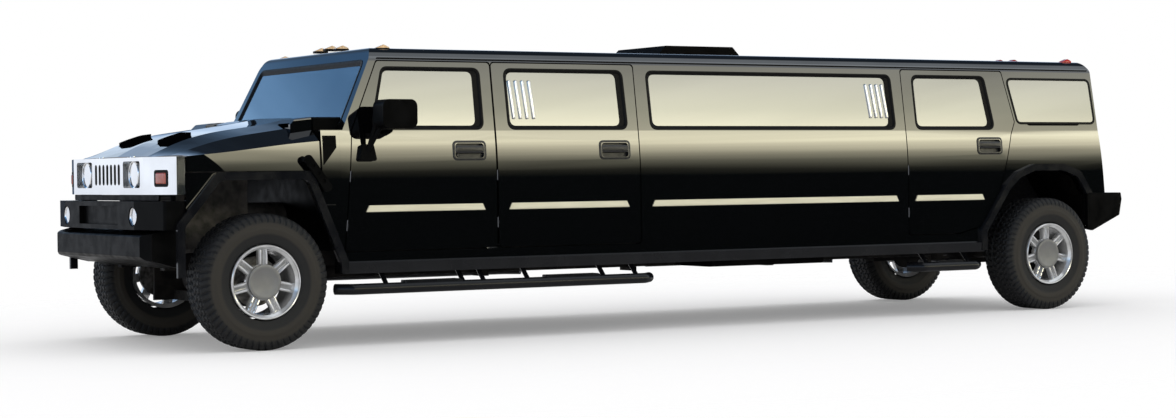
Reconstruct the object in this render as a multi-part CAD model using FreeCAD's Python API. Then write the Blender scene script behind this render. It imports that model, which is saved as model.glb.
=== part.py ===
import FreeCAD, Part
import math
import os

# Stretch limousine: a four-wheel vehicle with six side doors, built as separate pieces.
# Millimetres. Front toward -X, driver's side toward -Y, +Z up, ground at zero.
# The origin lies on the ground, at the middle of the length and of the width.

# Axles and ends
wheelbase = 6675.0
front_overhang = 760.0
rear_overhang = 800.0
track = 1763.0

# Wheels
tyre_radius = 440.0
tyre_width = 308.0
rim_radius = 240.0
tyre_shoulder = 34.0
bead_width = 236.0
block_depth = 12.0
rim_wall = 9.0
hub_radius = 86.0
cap_radius = 118.0
cap_depth = 26.0
spoke_width = 62.0
spoke_depth = 34.0
spoke_face_drop = 22.0
lug_groove = 16.0

# Heights of the cabin side, from the ground up
sill_clearance = 475.0
sill_height = 139.0
body_side_height = 800.0
window_sill = 12.0
window_height = 402.0
header_height = 64.0
roof_edge_rise = 70.0
roof_crown = 36.0
cladding_ledge = 70.0

# Widths of the cabin
body_half_width = 1004.0
waist_drop = 198.0
tumblehome = 99.0
roof_edge_inset = 63.0
waist_radius = 2700.0
rail_radius = 60.0
roof_edge_radius = 110.0
crown_radius = 9000.0
wall_thickness = 60.0
roof_thickness = 44.0

# Stations along the side, from the front axle
fender_rear = 545.0
door_front_low = 563.0
door_front_belt = 634.0
pillar_front_belt = 572.0
pillar_front_rail = 803.0
door_frame_lean = 217.0
front_door_rear = 1714.0
second_door_rear = 2868.0
frame_width = 96.0

# Stations along the side, ahead of and behind the rear axle
rear_door_lead = 1405.0
rear_door_tail_rail = 389.0
rear_door_tail_belt = 300.0
rear_face_sill = 615.0
rear_face_belt = 568.0
rear_face_rail = 550.0
roof_tail = 450.0

# Gaps and clearances
shut_gap = 8.0
pair_gap = 5.0
pair_gap_front = 9.0
top_gap = 12.0
rebate_gap = 8.0
seat_gap = 0.3
glass_thickness = 6.0
glass_inset = 9.0
overrun = 40.0
moving_gap = 12.0

# Wheel openings, beside the axles
front_arch_top = 300.0
front_arch_lead = 399.0
front_arch_tail = 531.0
arch_height = 655.0
arch_foot = 110.0
rear_arch_lead = 646.0
rear_arch_shoulder = 407.0
rear_arch_top = 300.0
rear_arch_tail = 420.0
flare_width = 52.0
flare_stand = 27.0
flare_lap = 10.0

# Nose: hood, fenders and grille shell
nose_front = 585.0
nose_side_inset = 28.0
nose_taper = 380.0
hood_rear = 400.0
hood_skirt_drop = 262.0
hood_thickness = 26.0
fender_thickness = 26.0
hood_tail_gap = 14.0
grille_bottom = 1008.0
grille_height = 240.0
grille_depth = 64.0
grille_front = 680.0
grille_centre_half = 668.0
grille_slots = 7
slot_width = 42.0
slot_pitch = 73.0
slot_height = 136.0
lamp_recess_inner = 296.0
lamp_recess_outer = 604.0
lamp_recess_height = 172.0
headlamp_radius = 82.0
headlamp_depth = 70.0
corner_lamp_width = 128.0
corner_lamp_height = 96.0
corner_lamp_depth = 22.0

# Bumpers
front_bumper_top = 966.0
front_bumper_height = 180.0
bumper_side_inset = 4.0
front_bumper_depth = 96.0
front_bumper_sweep = 60.0
lower_beam_top = 752.0
lower_beam_height = 155.0
lower_beam_inset = 124.0
lower_beam_depth = 150.0
bumper_recess_half = 372.0
bumper_recess_height = 120.0
bumper_recess_depth = 34.0
fog_lamp_offset = 634.0
fog_lamp_radius = 62.0
plate_offset = 197.0
plate_hole_spacing = 178.0
plate_hole_radius = 3.5
plate_hole_depth = 20.0
rear_bumper_top = 912.0
rear_bumper_height = 300.0
rear_bumper_reach = 430.0
skid_depth = 70.0

# Door handles
handle_length = 250.0
handle_height = 130.0
handle_setback = 210.0
handle_drop = 138.0
handle_radius = 30.0
handle_rim = 16.0
handle_proud = 5.0
handle_depth = 24.0
handle_bar = 44.0
handle_bar_depth = 12.0

# Rear quarter windows
quarter_margin = 24.0
quarter_rise = 40.0

# Hood louvres, scoops and latches, and the vents behind the hood
louvre_front = 150.0
louvre_length = 170.0
louvre_inner = 262.0
louvre_width = 200.0
louvre_rise = 24.0
louvre_slots = 4
louvre_slot = 15.0
scoop_length = 150.0
scoop_inner = 640.0
scoop_width = 226.0
scoop_top = 76.0
scoop_rise = 12.0
scoop_mouth = 26.0
scoop_radius = 14.0
vent_length = 104.0
vent_height = 196.0
vent_proud = 6.0
vent_drop = 36.0
latch_front = 278.0
latch_run = 168.0
latch_drop = 168.0
latch_fall = 226.0
latch_half = 30.0
latch_stand = 34.0
latch_depth = 16.0
latch_foot_radius = 20.0

# Roof, mirrors and steps
hatch_front = 3470.0
hatch_length = 720.0
hatch_half_width = 330.0
hatch_height = 58.0
marker_length = 92.0
marker_width = 46.0
marker_height = 26.0
marker_pitch = 170.0
marker_edge_inset = 42.0
marker_setback = 70.0
mirror_front = 746.0
mirror_length = 150.0
mirror_width = 250.0
mirror_height = 190.0
mirror_bottom = 1420.0
mirror_stand = 71.0
mirror_arm_radius = 15.0
mirror_plate_length = 130.0
mirror_plate_height = 110.0
mirror_plate_thickness = 16.0
mirror_plate_bottom = 1210.0
step_front = 530.0
step_rear = 2975.0
rear_step_front = 5320.0
rear_step_rear = 6010.0
step_radius = 36.0
step_height = 372.0
step_stand = 6.0
step_hanger_radius = 16.0
step_pad_reach = 96.0
step_pad_thickness = 14.0
hinge_radius = 6.5
hinge_pin_radius = 3.5
hinge_barrel = 30.0
hinge_leaf = 6.0
hinge_play = 0.25
hinge_inset = 3.0
hinge_low_share = 0.22
hinge_high_share = 0.62

# Chassis, axles and drive
rail_offset = 400.0
rail_half_width = 36.0
rail_height = 110.0
rail_bottom = 510.0
cross_members = 7
cross_member_width = 90.0
floor_thickness = 26.0
axle_tube_radius = 48.0
diff_radius = 150.0
drive_shaft_radius = 45.0
halfshaft_radius = 20.0
kingpin_offset = 108.0
kingpin_radius = 18.0
knuckle_height = 260.0
brake_disc_radius = 160.0
brake_disc_thickness = 28.0
spindle_radius = 30.0
hub_carrier_radius = 62.0
arm_thickness = 34.0
arm_spread = 210.0
leaf_half_length = 660.0
leaf_width = 70.0
leaf_thickness = 30.0
engine_length = 700.0
engine_width = 560.0
engine_height = 560.0
engine_bottom = 640.0
engine_setback = 40.0
gearbox_radius = 150.0
exhaust_radius = 32.0
exhaust_offset = 190.0
exhaust_wall = 2.5
muffler_radius = 84.0
tank_length = 1000.0
tank_height = 180.0
tank_gap = 12.0
tank_radius = 40.0
carrier_width = 60.0
carrier_half = 70.0
radiator_width = 760.0
radiator_height = 560.0
radiator_thickness = 70.0
liner_thickness = 6.0

# Cabin inside
seat_base_height = 330.0
seat_base_length = 520.0
seat_width = 560.0
seat_back_height = 620.0
seat_back_thickness = 150.0
seat_offset = 430.0
front_seat_front = 1130.0
partition_station = 1815.0
partition_thickness = 40.0
bench_depth = 560.0
bench_height = 420.0
bench_back_height = 420.0
bench_back_thickness = 110.0
dash_depth = 330.0
dash_height = 330.0
steering_wheel_radius = 195.0
steering_rim = 16.0
steering_tilt = 62.0
hitch_bore = 25.5
hitch_outer = 38.0
hitch_length = 230.0
hitch_pin_radius = 8.2

# Places that follow from the sizes above
front_axle_x = front_overhang - (front_overhang + wheelbase + rear_overhang) / 2
rear_axle_x = front_axle_x + wheelbase
sill_top = sill_clearance + sill_height
belt = sill_top + body_side_height
window_bottom = belt + window_sill
window_top = window_bottom + window_height
rail_z = window_top + header_height
roof_edge_z = rail_z + roof_edge_rise
roof_z = roof_edge_z + roof_crown
waist_z = belt - waist_drop
lean = tumblehome / (rail_z - waist_z)
belt_half = body_half_width - lean * waist_drop
rail_half = body_half_width - tumblehome
roof_edge_half = rail_half - roof_edge_inset
nose_half_width = body_half_width - nose_side_inset
front_bumper_half_width = body_half_width - bumper_side_inset
rear_bumper_half_width = body_half_width - bumper_side_inset
lower_beam_half_width = body_half_width - lower_beam_inset
marker_outer = roof_edge_half - marker_edge_inset
step_offset = body_half_width + step_stand
front_door_front = front_axle_x + door_front_belt
second_door_front = front_axle_x + front_door_rear
mid_panel_front = front_axle_x + second_door_rear
rear_door_front = rear_axle_x - rear_door_lead
skirt_z = belt - hood_skirt_drop
floor_top = sill_top + floor_thickness
wheel_y = track / 2
kingpin_y = wheel_y - kingpin_offset
steer_reach = (tyre_radius ** 2 + (kingpin_offset + tyre_width / 2) ** 2) ** 0.5
rail_top = rail_bottom + rail_height
bumper_back_x = front_axle_x - front_overhang + lower_beam_depth * 2
frame_front_x = bumper_back_x + seat_gap


def vec(x, y, z):
    return FreeCAD.Vector(x, y, z)


def box(x0, x1, y0, y1, z0, z1):
    """Block between two corners."""
    return Part.makeBox(x1 - x0, y1 - y0, z1 - z0, vec(x0, y0, z0))


def rod(start, end, radius):
    """Round bar from one point to another."""
    run = end.sub(start)
    return Part.makeCylinder(radius, run.Length, start, run)


def disc_y(x, y0, y1, z, radius):
    """Round plate across the vehicle, from y0 to y1."""
    return rod(vec(x, y0, z), vec(x, y1, z), radius)


def rounded_wire(points, radii, closed=True):
    """Line through points with a tangent arc of the given radius at each corner."""
    count = len(points)
    edges = []
    last = None
    first = None
    for index in range(count):
        here = points[index]
        radius = radii[index] if isinstance(radii, (list, tuple)) else radii
        inner = closed or 0 < index < count - 1
        arc = None
        if inner and radius > 0:
            back = points[index - 1].sub(here)
            ahead = points[(index + 1) % count].sub(here)
            turn = math.pi - back.getAngle(ahead)
            reach = radius * math.tan(turn / 2)
            reach = min(reach, back.Length * 0.47, ahead.Length * 0.47)
            if turn > 0.001:
                back.normalize()
                ahead.normalize()
                true_radius = reach / math.tan(turn / 2)
                bisector = back.add(ahead)
                bisector.normalize()
                centre_gap = true_radius / math.cos(turn / 2)
                start = here.add(back * reach)
                end = here.add(ahead * reach)
                middle = here.add(bisector * (centre_gap - true_radius))
                arc = (start, middle, end)
        if arc is None:
            arc = (here, None, here)
        if last is not None:
            edges.append(Part.LineSegment(last, arc[0]).toShape())
        else:
            first = arc[0]
        if arc[1] is not None:
            edges.append(Part.Arc(arc[0], arc[1], arc[2]).toShape())
        last = arc[2]
    if closed:
        edges.append(Part.LineSegment(last, first).toShape())
    return Part.Wire(edges)


def prism(points, radii, sweep):
    """Solid from a rounded outline and the vector that it is drawn along."""
    return Part.Face(rounded_wire(points, radii)).extrude(sweep)


def prism_x(outline, radii, x0, x1):
    """Outline of (y, z) points, drawn from x0 to x1."""
    return prism([vec(x0, y, z) for y, z in outline], radii, vec(x1 - x0, 0, 0))


def prism_y(outline, radii, y0, y1):
    """Outline of (x, z) points, drawn from y0 to y1."""
    return prism([vec(x, y0, z) for x, z in outline], radii, vec(0, y1 - y0, 0))


def prism_z(outline, radii, z0, z1):
    """Outline of (x, y) points, drawn from z0 to z1."""
    return prism([vec(x, y, z0) for x, y in outline], radii, vec(0, 0, z1 - z0))


def pipe(points, bend, radius):
    """Round tube body along straight runs joined by bends."""
    path = rounded_wire(points, bend, closed=False)
    run = points[1].sub(points[0])
    ring = Part.Wire(Part.Circle(points[0], run, radius).toShape())
    return path.makePipeShell([ring], True, True)


def inset(outline, distances):
    """Outline moved inward by a distance for each side, side i starting at point i."""
    count = len(outline)
    area = 0
    for index in range(count):
        x0, y0 = outline[index]
        x1, y1 = outline[(index + 1) % count]
        area += x0 * y1 - x1 * y0
    sign = 1 if area > 0 else -1
    lines = []
    for index in range(count):
        x0, y0 = outline[index]
        x1, y1 = outline[(index + 1) % count]
        length = math.hypot(x1 - x0, y1 - y0)
        ux = (x1 - x0) / length
        uy = (y1 - y0) / length
        gap = distances[index] if isinstance(distances, (list, tuple)) else distances
        lines.append((x0 - uy * gap * sign, y0 + ux * gap * sign, ux, uy))
    result = []
    for index in range(count):
        ax, ay, aux, auy = lines[index - 1]
        bx, by, bux, buy = lines[index]
        cross = aux * buy - auy * bux
        if abs(cross) < 0.0001:
            result.append((bx, by))
            continue
        step = ((bx - ax) * buy - (by - ay) * bux) / cross
        result.append((ax + aux * step, ay + auy * step))
    return result


def mirrored(shape):
    """The same piece on the other side of the vehicle."""
    return shape.mirror(vec(0, 0, 0), vec(0, 1, 0))


def both_sides(shape):
    """A piece and its twin on the other side."""
    return [shape, mirrored(shape)]


def solids_of(shapes):
    """Flat list of the solids in shapes."""
    result = []
    for shape in shapes:
        result.extend(shape.Solids)
    return result


def save(node, shapes):
    """Write one node as a set of solids that don't touch."""
    pieces = solids_of(shapes if isinstance(shapes, (list, tuple)) else [shapes])
    whole = pieces[0] if len(pieces) == 1 else Part.makeCompound(pieces)
    whole.exportStep(os.path.join("parts", node + ".step"))


def fused(shapes):
    """Pieces joined into one, with needless edges removed."""
    first = shapes[0]
    return first.fuse(shapes[1:]).removeSplitter() if len(shapes) > 1 else first


# Cabin envelope: one cross-section drawn along the car, trimmed by one side profile
section = [
    (body_half_width, sill_clearance),
    (body_half_width, waist_z),
    (rail_half, rail_z),
    (roof_edge_half, roof_edge_z),
    (0, roof_z),
    (-roof_edge_half, roof_edge_z),
    (-rail_half, rail_z),
    (-body_half_width, waist_z),
    (-body_half_width, sill_clearance),
]
section_radii = [0, waist_radius, rail_radius, roof_edge_radius, crown_radius,
                 roof_edge_radius, rail_radius, waist_radius, 0]

pillar_lean = (pillar_front_rail - pillar_front_belt) / (rail_z - belt)
cabin_front = front_axle_x + fender_rear
windshield_foot = front_axle_x + pillar_front_belt
windshield_head = front_axle_x + pillar_front_rail + (roof_edge_z - rail_z) * pillar_lean
tail_sill = rear_axle_x + rear_face_sill
tail_belt = rear_axle_x + rear_face_belt
tail_rail = rear_axle_x + rear_face_rail
roof_front_run = (roof_z - roof_edge_z) * 9
profile = [
    (cabin_front, sill_clearance),
    (cabin_front, belt),
    (windshield_foot, belt),
    (windshield_head, roof_edge_z),
    (windshield_head + roof_front_run, roof_z),
    (rear_axle_x + roof_tail, roof_z),
    (tail_rail, rail_z + roof_edge_rise / 2),
    (tail_belt, belt),
    (tail_sill, sill_top + body_side_height / 3),
    (tail_sill, sill_clearance),
]
profile_radii = [0, 0, 0, rail_radius, waist_radius, roof_edge_radius * 2,
                 roof_edge_radius, 0, 0, 0]


def side_half(z):
    """Half width of the outer skin at a height."""
    return body_half_width - lean * max(0, z - waist_z)


def envelope(depth, roof_depth):
    """Solid inside the cabin's outer skin, at a depth below it."""
    lift = overrun if depth > 0 else 0
    sides = [depth, depth, depth, roof_depth, roof_depth, depth, depth, depth, -lift]
    radii = [max(0, r - depth) if r < waist_radius else r for r in section_radii]
    ends = [depth, depth, depth, roof_depth, roof_depth, roof_depth, depth, depth, depth, -lift]
    end_radii = [max(0, r - depth) if r < waist_radius else r for r in profile_radii]
    along = prism_x(inset(section, sides), radii, cabin_front - overrun, tail_sill + overrun)
    half = body_half_width + overrun
    across = prism_y(inset(profile, ends), end_radii, -half, half)
    return along.common(across)


def section_solid(depth):
    """Solid inside the cross-section at a depth, running past both ends of the cabin."""
    sides = [depth] * (len(section) - 1) + [-overrun]
    radii = [max(0, r - depth) if r < waist_radius else r for r in section_radii]
    return prism_x(inset(section, sides), radii, cabin_front - overrun * 3,
                   tail_sill + overrun * 3)


def arch_outline(axle_x, shares, spread):
    """Wheel opening seen from the side, widened by spread and open below."""
    points = [(axle_x + x, z) for x, z in shares]
    grown = inset(points, -spread) if spread else points
    return grown


arch_low = sill_clearance - arch_foot
arch_top_z = sill_top + arch_height * 0.735
front_arch = [
    (-nose_front + overrun, arch_low),
    (-nose_front + overrun, arch_low + arch_height * 0.67),
    (-front_arch_lead, arch_low + arch_height * 0.93),
    (-front_arch_top, arch_top_z),
    (front_arch_top, arch_top_z),
    (front_arch_tail, sill_top - cladding_ledge),
    (front_arch_tail, arch_low),
]
rear_arch = [
    (-rear_arch_lead, arch_low),
    (-rear_arch_lead, sill_top + flare_lap),
    (-rear_arch_shoulder, arch_low + arch_height * 0.9),
    (-rear_arch_top, arch_top_z - flare_width),
    (-rear_arch_top / 2, arch_top_z),
    (rear_arch_top / 2, arch_top_z),
    (rear_arch_top, arch_top_z - flare_width),
    (rear_arch_tail, arch_low + arch_height * 0.78),
    (rear_arch_tail, arch_low),
]
arch_radius = 60.0


def arch_prism(axle_x, shares, spread, y0, y1):
    outline = arch_outline(axle_x, shares, spread)
    return prism_y(outline, arch_radius, y0, y1)


# Side outlines of the doors
door_top = rail_z - top_gap
front_door_outline = [
    (front_axle_x + door_front_low, sill_top),
    (front_door_front, belt),
    (front_door_front + door_frame_lean, door_top),
    (second_door_front, door_top),
    (second_door_front, sill_top),
]
second_door_outline = [
    (second_door_front, sill_top),
    (second_door_front, door_top),
    (mid_panel_front, door_top),
    (mid_panel_front, sill_top),
]
side_depth = body_side_height
rear_door_outline = [
    (rear_door_front, sill_top),
    (rear_door_front, door_top),
    (rear_axle_x - rear_door_tail_rail, door_top),
    (rear_axle_x - rear_door_tail_belt, belt + side_depth * 0.08),
    (rear_axle_x - rear_door_tail_belt - side_depth * 0.06, belt - side_depth * 0.04),
    (rear_axle_x - rear_arch_shoulder, belt - side_depth * 0.29),
    (rear_axle_x - rear_arch_shoulder - side_depth * 0.1, belt - side_depth * 0.58),
    (rear_axle_x - rear_arch_lead - flare_width, sill_top + side_depth * 0.06),
    (rear_axle_x - rear_arch_lead - flare_width * 5, sill_top),
]
door_radius = 24.0


def window_outline(front_low, front_high, rear_high, rear_low):
    """Window seen from the side, from its four corners along the car."""
    return [(front_low, window_bottom), (front_high, window_top),
            (rear_high, window_top), (rear_low, window_bottom)]


window_radius = 38.0
front_window = window_outline(
    front_door_front + frame_width * 1.6,
    front_door_front + frame_width * 1.05 + door_frame_lean * 0.73,
    second_door_front - frame_width,
    second_door_front - frame_width)
second_window = window_outline(
    second_door_front + frame_width * 1.15,
    second_door_front + frame_width * 1.1,
    mid_panel_front - frame_width * 1.1,
    mid_panel_front - frame_width)
mid_window = window_outline(
    mid_panel_front + frame_width * 1.15,
    mid_panel_front + frame_width * 1.1,
    rear_door_front - frame_width * 1.1,
    rear_door_front - frame_width)
rear_window = window_outline(
    rear_door_front + frame_width * 1.2,
    rear_door_front + frame_width * 1.2,
    rear_axle_x - rear_door_tail_rail - frame_width * 2,
    rear_axle_x - rear_door_tail_belt - frame_width * 2.3)
quarter_window = window_outline(
    rear_axle_x - rear_door_tail_belt + frame_width,
    rear_axle_x - rear_door_tail_rail + frame_width * 1.3,
    rear_axle_x + rear_face_rail - wall_thickness - frame_width,
    rear_axle_x + rear_face_belt - wall_thickness - frame_width)


quarter_pane_outline = [
    (rear_axle_x - rear_door_tail_belt + quarter_margin, window_bottom + quarter_rise),
    (rear_axle_x - rear_door_tail_rail + quarter_margin * 1.6, window_top - quarter_rise / 5),
    (rear_axle_x + rear_face_rail - quarter_margin, window_top - quarter_rise / 5),
    (rear_axle_x + rear_face_belt - quarter_margin, window_bottom + quarter_rise)]


def side_cut(outline, radius, gap):
    """Prism through the car's left side for an outline, narrowed all round by gap."""
    shape = inset(outline, gap) if gap else outline
    return prism_y(shape, radius, -body_half_width - overrun, -roof_edge_half / 2)


# Cabin shell and the layers that the doors and windows are cut from
outer_solid = envelope(0, 0)
middle_solid = envelope(wall_thickness / 2, roof_thickness / 2)
inner_solid = envelope(wall_thickness, roof_thickness)
shell = outer_solid.cut(inner_solid)
side_walls = outer_solid.cut(section_solid(wall_thickness))
side_depths = outer_solid.cut(section_solid(wall_thickness + shut_gap))
glass_layer = envelope(glass_inset, glass_inset).cut(
    envelope(glass_inset + glass_thickness, glass_inset + glass_thickness))
left_half = box(cabin_front - overrun * 2, tail_sill + overrun, -body_half_width - overrun, 0,
                sill_clearance - overrun * 2, roof_z + overrun)
roof_region = box(cabin_front - overrun * 2, tail_sill + overrun * 2,
                  -body_half_width - overrun, body_half_width + overrun,
                  rail_z, roof_z + overrun)

windshield_half_low = belt_half - wall_thickness - pillar_lean * flare_width
windshield_low = belt + glass_inset * 3
windshield_outline = [
    (-windshield_half_low, windshield_low),
    (windshield_half_low, windshield_low),
    (windshield_half_low - tumblehome / 2, rail_z - header_height / 4),
    (-windshield_half_low + tumblehome / 2, rail_z - header_height / 4),
]
tail_half = rail_half - wall_thickness * 2
tail_low = rear_bumper_top + shut_gap
tail_outline = [
    (-tail_half, tail_low), (tail_half, tail_low), (tail_half, rail_z), (-tail_half, rail_z),
]
tail_window_outline = [
    (-tail_half + frame_width, window_bottom + frame_width / 4),
    (tail_half - frame_width, window_bottom + frame_width / 4),
    (tail_half - frame_width, window_top),
    (-tail_half + frame_width, window_top),
]


def windshield_cut(gap):
    """Prism through the front of the cabin for the windshield."""
    outline = inset(windshield_outline, gap) if gap else windshield_outline
    return prism_x(outline, window_radius, cabin_front - overrun * 2,
                   windshield_head + wall_thickness * 3)


def tail_cut(outline, gap):
    """Prism through the rear wall of the cabin."""
    shape = inset(outline, gap) if gap else outline
    return prism_x(shape, window_radius, rear_axle_x + roof_tail - overrun, tail_sill + overrun * 2)


def lower_trim():
    """What the body leaves free below: the wheel openings, bumper corners and tail."""
    half = body_half_width + overrun
    rear = arch_prism(rear_axle_x, rear_arch, 0, -half, half)
    front = arch_prism(front_axle_x, front_arch, 0, -half, half)
    bumper = box(rear_axle_x + rear_arch_tail - overrun / 2, tail_sill + overrun * 2, -half, half,
                 sill_clearance - overrun, rear_bumper_top + seat_gap)
    return rear.fuse([front, bumper])


side_shell = shell.cut(roof_region)
lower_cut = lower_trim()


def hinge_axis(front_low, front_high, z_low, z_high, gap):
    """Two points on a left door's pivot, in its front gap, just under the skin."""
    low = vec(front_low + gap, -side_half(z_low) + hinge_inset, z_low)
    high = vec(front_high + gap, -side_half(z_high) + hinge_inset, z_high)
    return low, high


hinge_low_z = sill_top + body_side_height * hinge_low_share
hinge_high_z = sill_top + body_side_height * hinge_high_share
door_low_slope = (door_front_belt - door_front_low) / body_side_height
front_hinge = hinge_axis(
    front_axle_x + door_front_low + (hinge_low_z - sill_top) * door_low_slope,
    front_axle_x + door_front_low + (hinge_high_z - sill_top) * door_low_slope,
    hinge_low_z, hinge_high_z, shut_gap)
second_hinge = hinge_axis(second_door_front, second_door_front, hinge_low_z, hinge_high_z, 0)
rear_hinge = hinge_axis(rear_door_front, rear_door_front, hinge_low_z, hinge_high_z,
                        shut_gap)
tail_lean = (tail_belt - tail_rail) / (rail_z + roof_edge_rise / 2 - belt)
tail_hinge_x = tail_rail + tail_lean * roof_edge_rise / 2 - hinge_inset
tail_hinge = (vec(tail_hinge_x, -tail_half / 2, rail_z - shut_gap / 2),
              vec(tail_hinge_x, tail_half / 2, rail_z - shut_gap / 2))


def slab(corner, first, second, third):
    """Block spanned by three directions from a corner."""
    ring = [corner, corner.add(first), corner.add(first).add(second), corner.add(second)]
    return Part.Face(Part.makePolygon(ring + [corner])).extrude(third)


def hinge_pieces(axis, outward, inward, behind=False):
    """Barrels for the moving panel, knuckles with a pin for the body, and their pockets.

    The knuckles' leaves run away from the panel, or to the pillar behind it.
    """
    low, high = axis
    along = high.sub(low)
    along.normalize()
    half = hinge_barrel / 2
    ear = hinge_barrel * 0.6
    reach = shut_gap * 3
    away = outward * -reach
    across = inward * hinge_leaf
    if behind:
        away = inward * (wall_thickness + reach)
        across = outward * hinge_leaf
    pieces = {"moving": [], "fixed": [], "moving_pocket": [], "fixed_pocket": []}
    for point in (low, high):
        start = point.sub(along * half)
        end = point.add(along * half)
        slack = along * hinge_play
        thick = inward * hinge_leaf
        barrel = rod(start, end, hinge_radius)
        leaf = slab(start.add(along * hinge_inset), outward * reach, thick,
                    along * (hinge_barrel - hinge_inset * 2))
        bore = rod(start.sub(along), end.add(along), hinge_pin_radius + hinge_play)
        pieces["moving"].append(barrel.fuse(leaf).cut(bore))
        pin = rod(start.sub(along * ear), end.add(along * ear), hinge_pin_radius)
        lower = rod(start.sub(along * ear), start.sub(slack), hinge_radius)
        upper = rod(end.add(slack), end.add(along * ear), hinge_radius)
        edge = across * -0.5 if behind else vec(0, 0, 0)
        low_leaf = slab(start.sub(along * ear).add(edge), away, across, along * (ear * 0.9))
        high_leaf = slab(end.add(along * ear).add(edge), away, across, along * (-ear * 0.9))
        pieces["fixed"].append(pin.fuse([lower, upper, low_leaf, high_leaf]))
        clear = hinge_radius + hinge_inset
        pieces["moving_pocket"].append(rod(start.sub(along * (ear + hinge_inset)),
                                           end.add(along * (ear + hinge_inset)), clear))
        pieces["fixed_pocket"].append(rod(start.sub(along * hinge_inset),
                                          end.add(along * hinge_inset), clear))
    return pieces


to_rear = vec(1, 0, 0)
to_right = vec(0, 1, 0)
door_axes = [front_hinge, second_hinge, rear_hinge]


def with_barrels(body, pieces):
    """Moving panel with room for the body's knuckles and its own hinge barrels."""
    pockets = pieces["moving_pocket"]
    return fused([body.cut(pockets[0].fuse(pockets[1:]))] + pieces["moving"])


def with_knuckles(body, pieces):
    """Body panel with room for the moving barrels and its own knuckles and pins."""
    pockets = pieces["fixed_pocket"]
    return body.cut(pockets[0].fuse(pockets[1:])).fuse(pieces["fixed"])


def grip_cut(x, z, half_length, half_height, radius):
    """Prism through the left side for a rounded rectangle of a door handle."""
    return side_cut([(x - half_length, z - half_height), (x - half_length, z + half_height),
                     (x + half_length, z + half_height), (x + half_length, z - half_height)],
                    radius, 0)


def with_handle(panel, x, z):
    """Door with a raised bezel, the cup let in behind it and the grip bar across the cup."""
    half_length = handle_length / 2
    half_height = handle_height / 2
    bezel = section_solid(-handle_proud).cut(section_solid(handle_proud)).common(
        grip_cut(x, z, half_length, half_height, handle_radius))
    cup = section_solid(-handle_proud * 3).cut(section_solid(handle_depth)).common(
        grip_cut(x, z, half_length - handle_rim, half_height - handle_rim,
                 handle_radius - handle_rim / 2))
    bar = section_solid(-handle_proud / 2).cut(section_solid(handle_bar_depth)).common(
        grip_cut(x, z + handle_bar / 5, half_length - handle_rim / 2, handle_bar / 2, 0))
    return panel.fuse(bezel).cut(cup).fuse(bar)


def door_panel(outline, window, axis, gaps, handle_x, handle_z):
    """One left door: the wall inside its outline, with its window, handle and hinge barrels."""
    body = side_walls.common(side_cut(inset(outline, gaps), door_radius, 0))
    rebate = middle_solid.cut(side_cut(inset(outline, [gap + rebate_gap for gap in gaps]),
                                       door_radius, 0))
    body = body.cut(rebate)
    body = body.cut(side_cut(window, window_radius, 0))
    body = body.cut(roof_region)
    rear_outset = arch_prism(rear_axle_x, rear_arch, flare_width + shut_gap,
                             -body_half_width - overrun, 0)
    body = body.cut(rear_outset)
    body = with_handle(body, handle_x, handle_z)
    return with_barrels(body, hinge_pieces(axis, to_rear, to_right))


def window_pane(window):
    """Glass for one left side window."""
    return glass_layer.common(side_cut(window, window_radius, seat_gap))


def quarter_pane():
    """Left rear quarter glass, laid flush on the body over its opening."""
    layer = section_solid(seat_gap).cut(section_solid(glass_thickness))
    return layer.common(side_cut(quarter_pane_outline, window_radius, seat_gap))


def pillar_strip(x):
    """Pillar behind the edges of two doors that meet, from the sill to the roof rail."""
    strip = section_solid(wall_thickness).cut(section_solid(wall_thickness * 1.8))
    return strip.common(box(x - frame_width * 0.7, x + frame_width * 0.7,
                            -body_half_width, body_half_width, sill_clearance, rail_z))


def side_panel():
    """Left side of the body round its doors, with pillars, sill and the fixed middle panel."""
    body = side_shell.common(left_half)
    body = body.fuse(pillar_strip(second_door_front).common(left_half))
    body = body.cut(lower_cut)
    for outline in (front_door_outline, second_door_outline, rear_door_outline):
        body = body.cut(side_depths.common(side_cut(outline, door_radius, 0)))
    body = body.cut(side_cut(mid_window, window_radius, 0))
    body = body.cut(side_cut(inset(quarter_window, quarter_margin), window_radius, 0))
    seat_depth = section_solid(-overrun / 2).cut(section_solid(glass_thickness + seat_gap))
    body = body.cut(seat_depth.common(side_cut(quarter_pane_outline, window_radius, 0)))
    body = body.cut(windshield_cut(0))
    body = body.cut(tail_cut(tail_outline, 0))
    body = body.cut(cowl_region())
    body = body.cut(tail_lamp_block(seat_gap))
    body = body.cut(tail_region())
    for axis in (front_hinge, rear_hinge):
        body = with_knuckles(body, hinge_pieces(axis, to_rear, to_right))
    return with_knuckles(body, hinge_pieces(second_hinge, to_rear, to_right, True))


def cowl_region():
    """Space of the bulkhead and scuttle, between the side walls."""
    half = windshield_half_low
    return box(cabin_front - overrun * 2, windshield_foot + wall_thickness * 3, -half, half,
               sill_clearance - overrun, windshield_low + seat_gap)


def tail_lamp_block(gap):
    """Tall lamp in the left rear pillar, widened by gap."""
    low = tail_low + body_side_height * 0.12 - gap
    high = belt - body_side_height * 0.06 + gap
    inner = -tail_half - frame_width * 0.3 + gap
    outer = -side_half(belt) + frame_width * 0.35 - gap
    return box(tail_belt - wall_thickness / 2 - gap, tail_sill + overrun, outer, inner, low, high)


def tail_region():
    """Space under the tailgate, between the rear pillars."""
    return box(rear_axle_x + rear_arch_tail, tail_sill + overrun, -tail_half, tail_half,
               sill_clearance - overrun, tail_low)


def tail_panel():
    """Outer wall under the tailgate, between the rear pillars."""
    region = box(rear_axle_x + rear_arch_tail, tail_sill + overrun, -tail_half, tail_half,
                 rear_bumper_top - rear_bumper_height * 0.6, tail_low)
    return side_shell.common(region)


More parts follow.
